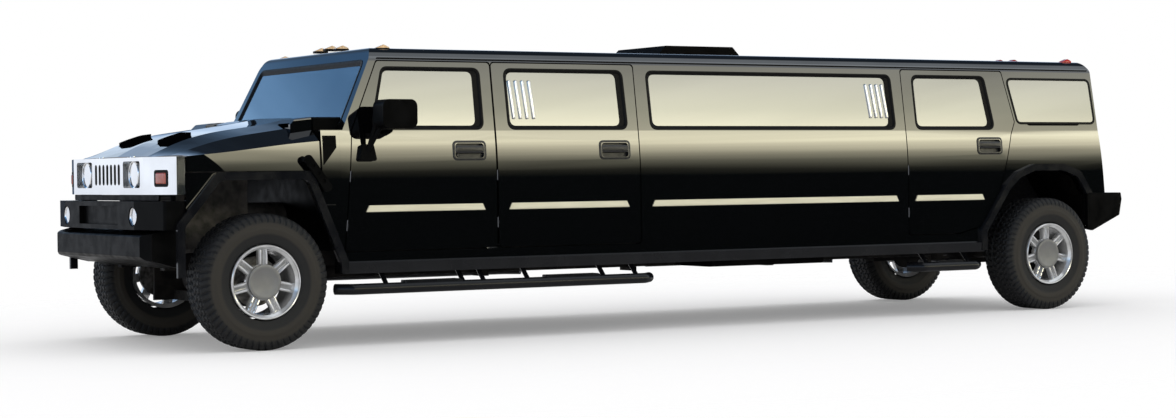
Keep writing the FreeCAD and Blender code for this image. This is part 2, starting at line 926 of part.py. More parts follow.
def tailgate_panel():
    """Rear door hinged at its top, with its window and a rebate all round."""
    body = side_shell.common(tail_cut(tail_outline, shut_gap))
    rebate = middle_solid.cut(tail_cut(tail_outline, shut_gap + rebate_gap))
    body = body.cut(rebate).cut(tail_cut(tail_window_outline, 0))
    return with_barrels(body, hinge_pieces(tail_hinge, vec(0, 0, -1), vec(-1, 0, 0)))


def roof_panel():
    """Roof skin with its front header, arched across the car."""
    body = shell.common(roof_region).cut(windshield_cut(0))
    return with_knuckles(body, hinge_pieces(tail_hinge, vec(0, 0, -1), vec(-1, 0, 0)))


def cowl_panel():
    """Bulkhead and scuttle under the windshield, with the plastic intake pods beside it."""
    body = side_shell.common(cowl_region())
    body = body.cut(box(cabin_front - overrun, windshield_foot + overrun * 3, -body_half_width,
                        body_half_width, 0, rail_top + seat_gap))
    shelf = box(front_axle_x + hood_rear + hood_tail_gap, cabin_front,
                -belt_half + wall_thickness, belt_half - wall_thickness,
                belt - hood_thickness * 2, belt)
    ends = scoop(front_axle_x + hood_rear + hood_tail_gap, windshield_foot + overrun, False)
    base = outer_solid.fuse(box(cabin_front, windshield_foot + overrun * 2, -body_half_width,
                                body_half_width, 0, belt))
    ends = [part.cut(base) for part in ends]
    return body.fuse([shelf] + ends)


def windshield():
    """Raked windshield pane."""
    return glass_layer.common(windshield_cut(seat_gap)).cut(
        box(windshield_head + wall_thickness * 2, tail_sill + overrun * 2, -body_half_width,
            body_half_width, 0, roof_z + overrun))


# Nose surface: shares along the nose, and shares of the hood's rise at four lines across it
hood_along_share = [-0.04, 0.137, 0.391, 0.695, 1.0, 1.2]
hood_centre_share = [0.0, 0.33, 0.62, 0.80, 1.0, 1.13]
hood_dome_share = [-0.01, 0.283, 0.574, 0.747, 0.962, 1.09]
hood_shoulder_share = [-0.02, 0.143, 0.408, 0.596, 0.777, 0.87]
hood_crease_share = [-0.04, 0.045, 0.158, 0.294, 0.404, 0.47]
hood_line_share = [0.0, 0.55, 0.80, 0.96]
grille_top = grille_bottom + grille_height
hood_rise = 265.0
nose_front_x = front_axle_x - nose_front
hood_rear_x = front_axle_x + hood_rear
nose_length = nose_front + hood_rear


def nose_plan(depth, x_rear):
    """Plan outline of the nose, a little narrower toward the front, at a depth."""
    x_front = nose_front_x - grille_depth * 2
    wide = body_half_width - depth
    slim = nose_half_width - depth
    taper_x = nose_front_x + nose_taper
    return [(x_front, -slim), (x_front, slim), (taper_x, wide), (x_rear, wide),
            (x_rear, -wide), (taper_x, -wide)]


def nose_block(depth, x_front, x_rear, low):
    """Solid inside the nose's side skins at a depth, open at its top."""
    sides = [depth] * len(section)
    radii = [max(0, r - depth) if r < waist_radius else r for r in section_radii]
    along = prism_x(inset(section, sides), radii, x_front, x_rear)
    plan = prism_z(nose_plan(depth, x_rear), [0, 0, waist_radius, 0, 0, waist_radius],
                   low, roof_z)
    return along.common(plan)


def hood_top(drop):
    """Solid under the hood's curved top, lofted through sections across the nose."""
    wires = []
    for index in range(len(hood_along_share)):
        x = nose_front_x + hood_along_share[index] * nose_length
        rises = [hood_centre_share[index], hood_dome_share[index],
                 hood_shoulder_share[index], hood_crease_share[index]]
        points = []
        for line, rise in zip(hood_line_share, rises):
            points.append((line * body_half_width, grille_top + rise * hood_rise - drop))
        out_y = body_half_width + overrun
        (y0, z0), (y1, z1) = points[-2], points[-1]
        points.append((out_y, z1 + (z1 - z0) / (y1 - y0) * (out_y - y1)))
        points.append((out_y, skirt_z - overrun))
        ring = [vec(x, y, z) for y, z in points]
        ring += [vec(x, -y, z) for y, z in reversed(points[1:])]
        wires.append(Part.makePolygon(ring + [ring[0]]))
    return Part.makeLoft(wires, True, False)


grille_back_x = front_axle_x - grille_front + grille_depth
corner_back_x = nose_front_x + grille_depth
hood_hinge_x = grille_back_x + shut_gap / 2
hood_hinge_z = grille_top + hinge_inset
hood_hinge = (vec(hood_hinge_x, -lamp_recess_inner, hood_hinge_z),
              vec(hood_hinge_x, lamp_recess_inner, hood_hinge_z))
to_ground = vec(0, 0, -1)


def louvre_pads():
    """Two raised pads with cross slots, let into the front of the hood."""
    pads = []
    for side in (-1, 1):
        x0 = nose_front_x + louvre_front
        y0 = side * louvre_inner
        y1 = side * (louvre_inner + louvre_width)
        outline = [(x0, y0), (x0, y1), (x0 + louvre_length, y1), (x0 + louvre_length, y0)]
        pad = hood_top(-louvre_rise).cut(hood_top(hood_thickness / 2)).common(
            prism_z(outline, louvre_rise, belt / 2, roof_z))
        over = hood_top(-louvre_rise - overrun).cut(hood_top(-louvre_rise / 4))
        low, high = min(y0, y1) + louvre_slot, max(y0, y1) - louvre_slot
        for index in range(louvre_slots):
            x = x0 + louvre_length * (index + 0.7) / (louvre_slots + 0.6)
            pad = pad.cut(over.common(box(x, x + louvre_slot, low, high, belt / 2, roof_z)))
        pads.append(pad)
    return pads


def scoop(x_front, x_rear, mouth):
    """Raised intakes at the rear corners of the hood, or their ends on the scuttle."""
    top = belt + scoop_top
    low = belt - scoop_top / 2
    lead = scoop_top / 2
    side_view = [(x_front, low), (x_front, top - lead), (x_front + lead, top),
                 (x_rear, top + scoop_rise), (x_rear, low)]
    if not mouth:
        side_view = [(x_front, low), (x_front, top + scoop_rise),
                     (x_rear, top + scoop_rise), (x_rear, low)]
    block = prism_y(side_view, 0, -scoop_inner - scoop_width, -scoop_inner)
    block = block.makeFillet(scoop_radius, [edge for edge in block.Edges
                                            if edge.BoundBox.ZMin > top - seat_gap
                                            and edge.BoundBox.YLength < seat_gap])
    if mouth:
        block = block.cut(box(x_front - overrun, x_front + scoop_length / 2,
                              -scoop_inner - scoop_width + scoop_mouth,
                              -scoop_inner - scoop_mouth, top - scoop_mouth * 2.2,
                              top - scoop_mouth * 1.1))
    return both_sides(block)


def hood():
    """Forward-tilting hood with the upper fenders in one shell, sides down to the flares."""
    front = grille_back_x
    skin = nose_block(0, front, hood_rear_x, skirt_z).common(hood_top(0))
    core = nose_block(hood_thickness, front - overrun, hood_rear_x + overrun,
                      skirt_z - overrun).common(hood_top(hood_thickness))
    body = skin.cut(core)
    outer = nose_half_width + flare_lap + overrun
    clear = [(front - overrun, -outer), (front - overrun, outer),
             (corner_back_x + shut_gap, outer), (corner_back_x + shut_gap, nose_half_width
             - wall_thickness), (front + shut_gap, grille_centre_half),
             (front + shut_gap, -grille_centre_half),
             (corner_back_x + shut_gap, -nose_half_width + wall_thickness),
             (corner_back_x + shut_gap, -outer)]
    body = body.cut(prism_z(clear, 0, skirt_z - overrun, roof_z))
    ends = [part.cut(core) for part in scoop(hood_rear_x - scoop_length, hood_rear_x, True)]
    body = body.fuse(louvre_pads() + ends)
    return with_barrels(body, hinge_pieces(hood_hinge, to_rear, to_ground))


def hood_latches():
    """Long ribbed latch on each side, standing off the fender, with its foot on the hood."""
    x0 = front_axle_x + latch_front
    z0 = belt - latch_drop
    long = math.hypot(latch_run, latch_fall)
    ux, uz = latch_run / long, -latch_fall / long
    wide = latch_half
    corners = [(x0 + uz * wide, z0 - ux * wide), (x0 - uz * wide, z0 + ux * wide),
               (x0 + latch_run - uz * wide, z0 - latch_fall + ux * wide),
               (x0 + latch_run + uz * wide, z0 - latch_fall - ux * wide)]
    inner = -body_half_width - latch_stand
    bar = prism_y(corners, wide, inner - latch_depth, inner)
    for along in (0.28, 0.5, 0.72):
        x = x0 + latch_run * along
        z = z0 - latch_fall * along
        bar = bar.cut(disc_y(x, inner - latch_depth - overrun, inner - latch_depth / 2, z,
                             latch_half * 0.45))
    foot = disc_y(x0 + ux * wide, inner, -nose_half_width + hood_thickness, z0 + uz * wide,
                  latch_foot_radius)
    skin = nose_block(0, grille_back_x, hood_rear_x, skirt_z)
    return bar.fuse(foot.cut(skin))


def side_vents():
    """Tapered vent plate on each side behind the hood, with level slots."""
    x0 = hood_rear_x + hood_tail_gap + seat_gap
    top = belt - vent_drop
    outline = [(x0, top), (x0 + vent_length, top), (x0 + vent_length, top - vent_height * 0.4),
               (x0 + vent_length * 0.06, top - vent_height), (x0, top - vent_height)]
    plate = section_solid(-vent_proud).cut(section_solid(0)).common(
        side_cut(outline, vent_proud / 2, 0))
    groove = section_solid(-vent_proud * 3).cut(section_solid(-vent_proud / 3))
    for index in range(3):
        z = top - vent_height * (0.1 + 0.1 * index)
        bar = box(x0 + vent_proud, x0 + vent_length - vent_proud, -body_half_width - overrun, 0,
                  z - vent_proud, z)
        plate = plate.cut(groove.common(bar))
    return both_sides(plate)


def fender_pair():
    """Lower fenders round the front wheel openings, one on each side."""
    front = corner_back_x + seat_gap
    low = sill_clearance + overrun
    skin = nose_block(0, front, cabin_front - seat_gap, low)
    core = nose_block(fender_thickness, front - overrun, cabin_front + overrun, low - overrun)
    body = skin.cut(core)
    body = body.cut(box(front - overrun, cabin_front, -body_half_width, body_half_width,
                        belt, roof_z + overrun))
    body = body.cut(box(front - overrun, hood_rear_x + hood_tail_gap, -body_half_width,
                        body_half_width, skirt_z - shut_gap, roof_z + overrun))
    half = body_half_width + overrun
    body = body.cut(arch_prism(front_axle_x, front_arch, 0, -half, half))
    return body


def flare_pair(axle_x, shares):
    """Raised bands round one pair of wheel openings."""
    low = -body_half_width - flare_stand
    band = arch_prism(axle_x, shares, flare_width, low, -body_half_width - seat_gap)
    hole = arch_prism(axle_x, shares, 0, low - overrun, -body_half_width + overrun)
    ground = box(axle_x - wheelbase / 2, axle_x + wheelbase / 2, low - overrun, 0, 0,
                 sill_clearance + flare_lap)
    return band.cut(hole).cut(ground)


def rocker(front_x, rear_x):
    """Cladding step along the sill, between the wheel openings."""
    low = sill_clearance
    ledge = low + cladding_ledge
    y = body_half_width
    outline = [(-y - flare_stand * 0.7, low), (-y - flare_stand * 0.9, ledge),
               (-y - seat_gap, ledge + flare_lap), (-y - seat_gap, low)]
    return prism_x(outline, 0, front_x, rear_x)


def lower_cladding():
    """Wheel flares and sill cladding on both sides."""
    front = flare_pair(front_axle_x, front_arch)
    rear = flare_pair(rear_axle_x, rear_arch)
    sill = rocker(front_axle_x + front_arch_tail + flare_width / 2,
                  rear_axle_x - rear_arch_lead - flare_width / 2)
    bumper = box(rear_axle_x + rear_arch_tail - overrun / 2, tail_sill + overrun * 2,
                 -body_half_width - overrun, body_half_width + overrun, 0, rear_bumper_top)
    left = front.fuse([rear, sill]).cut(bumper)
    return both_sides(left)


def grille_shell():
    """Bright grille shell: slotted middle, square lamp wells and swept corner blocks."""
    front = front_axle_x - grille_front
    back = front + grille_depth
    corner = nose_front_x
    outer = nose_half_width + flare_lap
    plan = [(front, -grille_centre_half), (front, grille_centre_half),
            (corner, outer), (corner + grille_depth, outer),
            (corner + grille_depth, outer - wall_thickness / 2),
            (back, grille_centre_half), (back, -grille_centre_half),
            (corner + grille_depth, -outer + wall_thickness / 2),
            (corner + grille_depth, -outer), (corner, -outer)]
    body = prism_z(plan, 12 * [slot_width / 4], grille_bottom, grille_top - seat_gap)
    mid = grille_bottom + grille_height * 0.54
    cuts = []
    for index in range(grille_slots):
        y = (index - (grille_slots - 1) / 2) * slot_pitch
        outline = [(y - slot_width / 2, mid - slot_height / 2),
                   (y + slot_width / 2, mid - slot_height / 2),
                   (y + slot_width / 2, mid + slot_height / 2),
                   (y - slot_width / 2, mid + slot_height / 2)]
        cuts.append(prism_x(outline, slot_width * 0.45, front - overrun, back + overrun))
    for side in (-1, 1):
        y0 = side * lamp_recess_inner
        y1 = side * lamp_recess_outer
        outline = [(min(y0, y1), mid - lamp_recess_height / 2),
                   (max(y0, y1), mid - lamp_recess_height / 2),
                   (max(y0, y1), mid + lamp_recess_height / 2),
                   (min(y0, y1), mid + lamp_recess_height / 2)]
        cuts.append(prism_x(outline, slot_width / 2, front - overrun, back + overrun))
    for lamp in both_sides(corner_lamp(seat_gap)):
        cuts.append(lamp)
    body = body.cut(cuts[0].fuse(cuts[1:]))
    return with_knuckles(body, hinge_pieces(hood_hinge, to_rear, to_ground))


def corner_lamp(gap):
    """Square amber lamp set in the swept left corner of the grille shell."""
    front = front_axle_x - grille_front
    run = nose_front_x - front
    spread = nose_half_width + flare_lap - grille_centre_half
    centre = 0.55
    x = front + run * centre
    y = -grille_centre_half - spread * centre
    mid = grille_bottom + grille_height * 0.43
    block = box(-corner_lamp_depth / 4, corner_lamp_depth + gap, -corner_lamp_width / 2 - gap,
                corner_lamp_width / 2 + gap, -corner_lamp_height / 2 - gap,
                corner_lamp_height / 2 + gap)
    block.rotate(vec(0, 0, 0), vec(0, 0, 1), -math.degrees(math.atan2(run, spread)))
    block.translate(vec(x, y, mid))
    return block


def headlamp(side):
    """Round lamp in its square well, on a square back plate."""
    front = front_axle_x - grille_front
    mid = grille_bottom + grille_height * 0.54
    y = side * (lamp_recess_inner + lamp_recess_outer) / 2
    reach = (lamp_recess_outer - lamp_recess_inner) / 2
    plate = box(front + grille_depth + seat_gap, front + grille_depth + hood_thickness, y - reach,
                y + reach, mid - lamp_recess_height / 2, mid + lamp_recess_height / 2)
    lamp = rod(vec(front + grille_depth / 3, y, mid), vec(front + grille_depth + slot_width / 4,
               y, mid), headlamp_radius)
    return lamp.fuse(plate)


def fog_lamp(side):
    """Oval lamp in the upper bumper beam."""
    x = front_axle_x - front_overhang + hood_thickness
    y = side * fog_lamp_offset
    z = front_bumper_top - front_bumper_height * 0.54
    return rod(vec(x, y, z), vec(x + front_bumper_depth * 0.4, y, z), fog_lamp_radius)


def front_bumper():
    """Two stacked beams with a recessed middle, fog lamp wells and a raked skid plate."""
    front = front_axle_x - front_overhang
    back = front + front_bumper_depth
    half = front_bumper_half_width
    knee = grille_centre_half
    low = front_bumper_top - front_bumper_height
    plan = [(front + hood_thickness / 2, -knee), (front + hood_thickness / 2, knee),
            (front + front_bumper_sweep * 1.5, half), (nose_front_x + wall_thickness, half),
            (nose_front_x + wall_thickness, half - wall_thickness),
            (back + front_bumper_sweep * 0.6, knee), (back + front_bumper_sweep * 0.6, -knee),
            (nose_front_x + wall_thickness, -half + wall_thickness),
            (nose_front_x + wall_thickness, -half), (front + front_bumper_sweep * 1.5, -half)]
    upper = prism_z(plan, slot_width / 2, low, front_bumper_top)
    recess = box(front - overrun, front + hood_thickness / 2 + bumper_recess_depth,
                 -bumper_recess_half, bumper_recess_half,
                 low + front_bumper_height * 0.16, low + front_bumper_height * 0.16
                 + bumper_recess_height)
    upper = upper.cut(recess)
    lower_low = lower_beam_top - lower_beam_height
    reach = lower_beam_half_width
    side_view = [(front, lower_beam_top - flare_lap), (front + flare_lap, lower_beam_top),
                 (front + lower_beam_depth, lower_beam_top + (low - lower_beam_top)),
                 (front + lower_beam_depth * 2, low),
                 (front + lower_beam_depth * 2, lower_low - skid_depth),
                 (front + lower_beam_depth * 1.2, lower_low - skid_depth * 0.6),
                 (front + flare_lap * 2, lower_low), (front, lower_low + flare_lap * 2)]
    lower = prism_y(side_view, flare_lap / 2, -reach, reach)
    trim = [(front - overrun, -reach + lower_beam_depth), (front - overrun, -reach - overrun),
            (front + lower_beam_depth / 2, -reach - overrun)]
    for side in (1, -1):
        shape = [(x, y * side) for x, y in trim]
        lower = lower.cut(prism_z(shape, 0, 0, front_bumper_top))
    body = upper.fuse(lower)
    for side in (-1, 1):
        kingpin = vec(front_axle_x, side * kingpin_y, 0)
        swept = rod(kingpin, kingpin + vec(0, 0, front_bumper_top), steer_reach + flare_lap)
        body = body.cut(swept)
        y = plate_offset + side * plate_hole_spacing / 2
        z = lower_beam_top - lower_beam_height / 2
        body = body.cut(rod(vec(front - overrun, y, z), vec(front + plate_hole_depth, y, z),
                            plate_hole_radius))
        y = side * fog_lamp_offset
        z = front_bumper_top - front_bumper_height * 0.54
        body = body.cut(rod(vec(front - overrun, y, z), vec(
            front + hood_thickness + front_bumper_depth * 0.4 + seat_gap, y, z),
            fog_lamp_radius + seat_gap))
    return body


def rear_bumper():
    """Deep bumper that wraps the rear corners, its underside swept up."""
    end = rear_axle_x + rear_overhang
    start = rear_axle_x + rear_bumper_reach
    low = rear_bumper_top - rear_bumper_height
    side_view = [(start, rear_bumper_top), (end - flare_lap, rear_bumper_top),
                 (end, rear_bumper_top - flare_width), (end - flare_width / 2,
                 rear_bumper_top - rear_bumper_height * 0.6), (start + flare_width, low),
                 (start, low + flare_lap)]
    half = rear_bumper_half_width
    body = prism_y(side_view, flare_lap, -half, half)
    inner = box(start - overrun, tail_sill + seat_gap, -half + flare_stand,
                half - flare_stand, 0, rear_bumper_top + overrun)
    return body.cut(inner)


def wheel_liner(axle_x, shares, inside):
    """Left wheel well skin, butted to the inside of the wall round the opening."""
    outer_y = -body_half_width
    inner_y = -rail_offset - rail_half_width - seat_gap
    outer = arch_prism(axle_x, shares, liner_thickness * 4 / 3, outer_y, inner_y)
    inner = arch_prism(axle_x, shares, liner_thickness / 3, outer_y - overrun, inner_y + overrun)
    ground = box(axle_x - wheelbase / 2, axle_x + wheelbase / 2, -body_half_width - overrun, 0,
                 0, tyre_radius * 1.5)
    bumper = box(front_axle_x - wheelbase, bumper_back_x + overrun, -body_half_width - overrun, 0,
                 0, front_bumper_top)
    return outer.cut(inner).cut(ground).cut(bumper).common(inside)


def tyre(side, axle_x):
    """Tyre with rounded block shoulders, a raised sidewall ring and an open bead."""
    half = tyre_width / 2
    bead = bead_width / 2
    wall = rim_radius + (tyre_radius - rim_radius) * 0.5
    points = [(rim_radius - rim_wall * 2, -bead), (rim_radius + rim_wall, -bead - rim_wall * 2),
              (wall, -half), (tyre_radius - tyre_shoulder, -half + rim_wall),
              (tyre_radius, -half + tyre_shoulder), (tyre_radius, half - tyre_shoulder),
              (tyre_radius - tyre_shoulder, half - rim_wall), (wall, half),
              (rim_radius + rim_wall, bead + rim_wall * 2), (rim_radius - rim_wall * 2, bead),
              (rim_radius + rim_wall, bead - rim_wall * 2), (wall, half - rim_wall * 2),
              (tyre_radius - block_depth * 2, half - tyre_shoulder),
              (tyre_radius - block_depth * 2, -half + tyre_shoulder),
              (wall, -half + rim_wall * 2), (rim_radius + rim_wall, -bead + rim_wall * 2)]
    face = Part.Face(Part.makePolygon([vec(0, y, r) for r, y in points]
                                      + [vec(0, points[0][1], points[0][0])]))
    body = face.revolve(vec(0, 0, 0), vec(0, 1, 0), 360)
    body.translate(vec(axle_x, side * wheel_y, tyre_radius))
    return body


def rim(side, axle_x):
    """Bright wheel: dished barrel, seven ribbed spokes and a broad round cap."""
    bead = bead_width / 2
    inner = rim_radius - rim_wall * 2 - seat_gap
    lip = rim_radius
    points = [(inner, -bead), (lip, -bead - rim_wall * 2.4), (lip, -bead - rim_wall * 3),
              (inner - rim_wall, -bead), (inner - rim_wall * 1.5, -bead * 0.2),
              (inner - rim_wall, bead), (lip, bead + rim_wall * 3), (lip, bead + rim_wall * 2.4),
              (inner, bead), (inner - rim_wall * 0.5, 0)]
    face = Part.Face(Part.makePolygon([vec(0, y, r) for r, y in points]
                                      + [vec(0, points[0][1], points[0][0])]))
    barrel = face.revolve(vec(0, 0, 0), vec(0, 1, 0), 360)
    front = -bead + spoke_face_drop
    spokes = []
    count = 7
    for index in range(count):
        arm = box(-spoke_width / 2, spoke_width / 2, front, front + spoke_depth,
                  cap_radius * 0.8, inner - rim_wall * 1.1)
        groove = box(-lug_groove / 2, lug_groove / 2, front - overrun, front + lug_groove / 2,
                     0, inner)
        arm = arm.cut(groove)
        arm.rotate(vec(0, 0, 0), vec(0, 1, 0), index * 360 / count)
        spokes.append(arm)
    plate = disc_y(0, front + spoke_depth * 0.2, front + spoke_depth, 0, cap_radius)
    cap = disc_y(0, front - cap_depth, front + spoke_depth * 0.3, 0, cap_radius * 0.9)
    hub = disc_y(0, front + spoke_depth * 0.9, front + spoke_depth * 2, 0, hub_radius)
    body = barrel.fuse(spokes + [plate, cap, hub])
    if side > 0:
        body = mirrored(body)
    body.translate(vec(axle_x, side * wheel_y, tyre_radius))
    return body


def knuckle():
    """Left steering knuckle: kingpin post, hub carrier and spindle, with its brake disc."""
    z = tyre_radius
    x = front_axle_x
    y = -kingpin_y
    face = -wheel_y - bead_width / 2 + spoke_face_drop + spoke_depth * 2
    post = rod(vec(x, y, z - knuckle_height / 2), vec(x, y, z + knuckle_height / 2),
               kingpin_radius)
    carrier = disc_y(x, y + kingpin_radius * 1.6, y - kingpin_radius * 1.6, z, hub_carrier_radius)
    spindle = disc_y(x, y, face + seat_gap, z, spindle_radius)
    disc = disc_y(x, y - kingpin_radius * 2.6, y - kingpin_radius * 2.6 - brake_disc_thickness,
                  z, brake_disc_radius)
    return post.fuse([carrier, spindle, disc])


def mirror():
    """Left door mirror: rounded housing on a V of two arms from a base plate."""
    x0 = front_axle_x + mirror_front
    y1 = -body_half_width - mirror_stand
    z0 = mirror_bottom
    outline = [(x0, z0), (x0 + mirror_width, z0), (x0 + mirror_width, z0 + mirror_height),
               (x0, z0 + mirror_height)]
    housing = prism_y(outline, mirror_height / 4, y1 - mirror_length, y1)
    skin = -side_half(mirror_plate_bottom) - seat_gap
    px = x0 - mirror_plate_length * 0.6
    pz = mirror_plate_bottom
    plate = [(px, pz), (px + mirror_plate_length, pz),
             (px + mirror_plate_length * 0.8, pz + mirror_plate_height),
             (px + mirror_plate_length * 0.2, pz + mirror_plate_height)]
    base = prism_y(plate, mirror_plate_thickness, skin - mirror_plate_thickness * 1.5,
                   skin + overrun).cut(outer_solid)
    foot = vec(px + mirror_plate_length / 2, skin - mirror_plate_thickness,
               pz + mirror_plate_height * 0.6)
    low = rod(foot, vec(x0 + mirror_width * 0.2, y1 - mirror_length / 3,
              z0 + mirror_height * 0.25), mirror_arm_radius)
    high = rod(foot, vec(x0 + mirror_width * 0.12, y1 - mirror_length / 3,
               z0 + mirror_height * 0.7), mirror_arm_radius)
    return housing.fuse([base, low, high]).cut(outer_solid)


# Shares along a side step: where its hangers stand, and where its pads begin and end
long_hanger_shares = [0.14, 0.375, 0.44, 0.58, 0.83, 0.94]
long_pad_shares = [(0.185, 0.37), (0.63, 0.815)]
short_hanger_shares = [0.2, 0.8]
short_pad_shares = [(0.3, 0.7)]


def side_step(front_x, rear_x, hangers, pads):
    """Tubular side step under one left sill, with hangers to the frame rail and tread pads."""
    y = -step_offset
    tuck = step_radius * 2.5
    points = [vec(front_x, y + tuck, step_height), vec(front_x + tuck, y, step_height),
              vec(rear_x - tuck, y, step_height), vec(rear_x, y + tuck, step_height)]
    parts = [pipe(points, tuck / 2, step_radius)]
    rail_y = -rail_offset - rail_half_width - seat_gap
    for share in hangers:
        x = front_x + (rear_x - front_x) * share
        top = rail_bottom + rail_height / 3
        path = [vec(x, rail_y, top), vec(x, y + tuck * 2, top), vec(x, y, step_height)]
        parts.append(pipe(path, step_radius, step_hanger_radius))
    for low, high in pads:
        x0 = front_x + (rear_x - front_x) * low
        x1 = front_x + (rear_x - front_x) * high
        top = step_height + step_radius
        plan = [(x0, y - step_radius / 2), (x1, y - step_radius / 2),
                (x1 - tuck / 3, y + step_pad_reach), (x0 + tuck / 3, y + step_pad_reach)]
        parts.append(prism_z(plan, tuck / 5, top - step_pad_thickness / 2,
                             top + step_pad_thickness / 2))
    return parts[0].fuse(parts[1:])


def roof_hatch():
    """Raised dark hatch in the middle of the roof."""
    x0 = front_axle_x + hatch_front
    low = roof_edge_z
    top = roof_z + hatch_height
    side = [(x0, low), (x0 + hatch_length, low), (x0 + hatch_length, roof_z),
            (x0 + hatch_length - hatch_height, top), (x0 + hatch_height, top), (x0, roof_z)]
    block = prism_y(side, hatch_height / 5, -hatch_half_width, hatch_half_width)
    return block.cut(outer_solid)


def roof_skin_z(y):
    """Height of the roof skin away from the middle."""
    return roof_z - roof_crown * abs(y) / roof_edge_half


def marker(x, y):
    """Teardrop lamp on the roof."""
    low = roof_skin_z(abs(y) + marker_width / 2) - marker_height
    outline = [(x, low), (x + marker_length, low),
               (x + marker_length, low + marker_height * 1.4),
               (x + marker_length * 0.6, low + marker_height * 2), (x, low + marker_height * 1.2)]
    lamp = prism_y(outline, marker_height / 5, y - marker_width / 2, y + marker_width / 2)
    return lamp.cut(outer_solid)


def front_markers():
    x = windshield_head + marker_setback
    return [marker(x, y) for y in (-marker_outer, -marker_pitch, 0, marker_pitch, marker_outer)]


def rear_markers():
    x = rear_axle_x + roof_tail - marker_length * 1.2
    return [marker(x, y) for y in (-marker_outer, -marker_pitch, 0, marker_pitch, marker_outer)]


def chassis_frame():
    """Two box rails joined by cross members."""
    front = frame_front_x
    rear = tail_sill - wall_thickness
    parts = []
    for side in (-1, 1):
        y = side * rail_offset
        parts.append(box(front, rear, y - rail_half_width, y + rail_half_width,
                         rail_bottom, rail_top))
    run = rear - front - cross_member_width
    for index in range(cross_members):
        x = front + run * index / (cross_members - 1)
        parts.append(box(x, x + cross_member_width, -rail_offset, rail_offset,
                         rail_bottom + rail_height * 0.2, rail_top - rail_height * 0.1))
    mid = rail_bottom + rail_height / 2
    mouth = rear + hitch_length
    parts.append(box(rear - cross_member_width / 2, mouth, -hitch_outer, hitch_outer,
                     mid - hitch_outer, mid + hitch_outer))
    body = fused(parts)
    body = body.cut(box(rear, mouth + overrun, -hitch_bore, hitch_bore, mid - hitch_bore,
                        mid + hitch_bore))
    return body.cut(disc_y(mouth - hitch_length * 0.27, -hitch_outer - overrun,
                           hitch_outer + overrun, mid, hitch_pin_radius))


def floor_pan():
    """Flat cabin floor between the side walls, from the bulkhead to the tail."""
    half = body_half_width - wall_thickness
    pan = box(cabin_front + wall_thickness, tail_sill - wall_thickness, -half, half,
              rail_top + seat_gap * 2, rail_top + floor_thickness)
    wells = [box(rear_axle_x - rear_arch_lead - wall_thickness, rear_axle_x + rear_arch_tail
                 + wall_thickness, side * rail_offset + side * rail_half_width, side * half
                 + side * overrun, 0, roof_z) if side > 0 else
             box(rear_axle_x - rear_arch_lead - wall_thickness, rear_axle_x + rear_arch_tail
                 + wall_thickness, -half - overrun, -rail_offset - rail_half_width, 0, roof_z)
             for side in (-1, 1)]
    pillar = pillar_strip(second_door_front)
    return pan.cut(wells[0].fuse([wells[1], pillar]))


def front_suspension():
    """Upper and lower arms, their subframe, the front drive unit and its half shafts."""
    x = front_axle_x
    z = tyre_radius
    inner = -rail_offset - rail_half_width
    low = z - knuckle_height / 2 - arm_thickness
    high = z + knuckle_height / 2 + seat_gap
    arms = []
    for level in (low, high):
        plan = [(x - arm_spread, inner), (x - arm_spread + arm_thickness, inner),
                (x, -kingpin_y + kingpin_radius * 3), (x + arm_spread - arm_thickness, inner),
                (x + arm_spread, inner), (x + kingpin_radius * 1.5, -kingpin_y),
                (x, -kingpin_y - kingpin_radius * 1.5), (x - kingpin_radius * 1.5, -kingpin_y)]
        arms.append(prism_z(plan, 0, level, level + arm_thickness - seat_gap))
    bracket = box(x - arm_spread, x + arm_spread, inner, inner + arm_thickness, low,
                  rail_bottom - seat_gap)
    beam = box(x - arm_spread / 3, x + arm_spread / 3, inner, 0, low, low + arm_thickness * 2)
    shaft = disc_y(x, -kingpin_y + spindle_radius * 2.4, 0, z, halfshaft_radius)
    case = disc_y(x, -diff_radius * 0.8, 0, z, diff_radius * 0.8)
    lower = arms[0].fuse([bracket, beam, shaft, case])
    return [lower.fuse(mirrored(lower)), arms[1], mirrored(arms[1])]


def rear_axle():
    """Solid rear axle with its differential, hubs and leaf springs."""
    z = tyre_radius
    x = rear_axle_x
    face = wheel_y + bead_width / 2 - spoke_face_drop - spoke_depth * 2 - seat_gap
    tube = disc_y(x, -face, face, z, axle_tube_radius)
    ball = Part.makeSphere(diff_radius, vec(x, 0, z))
    hubs = [disc_y(x, side * (wheel_y - bead_width / 2 - brake_disc_thickness),
                   side * (wheel_y - bead_width / 2), z, brake_disc_radius) for side in (-1, 1)]
    springs = []
    low = z - axle_tube_radius - leaf_thickness
    for side in (-1, 1):
        y = side * rail_offset
        springs.append(box(x - leaf_half_length, x + leaf_half_length * 0.8, y - leaf_width / 2,
                           y + leaf_width / 2, low, low + leaf_thickness * 1.2))
        for end in (x - leaf_half_length, x + leaf_half_length * 0.8 - leaf_width):
            springs.append(box(end, end + leaf_width, y - rail_half_width, y + rail_half_width,
                               low, rail_bottom - seat_gap))
    return tube.fuse([ball] + hubs + springs)


def engine_block():
    """Engine as one plain block, with its gearbox behind."""
    x0 = front_axle_x - engine_length / 2 + engine_setback
    half = engine_width / 2
    block = box(x0, x0 + engine_length * 0.72, -half, half, engine_bottom,
                engine_bottom + engine_height)
    gap = rail_offset - rail_half_width - seat_gap
    feet = box(x0 + engine_length * 0.3, x0 + engine_length * 0.42, -gap, gap,
               rail_bottom + rail_height / 2, engine_bottom + overrun)
    gearbox = rod(vec(x0 + engine_length * 0.7, 0, engine_bottom + gearbox_radius),
                  vec(cabin_front - seat_gap, 0, engine_bottom + gearbox_radius),
                  gearbox_radius)
    return block.fuse([feet, gearbox])


def bay_middle(index):
    """Place along the frame between two cross members."""
    front = frame_front_x
    run = tail_sill - wall_thickness - front - cross_member_width
    return front + run * (index + 0.5) / (cross_members - 1) + cross_member_width / 2


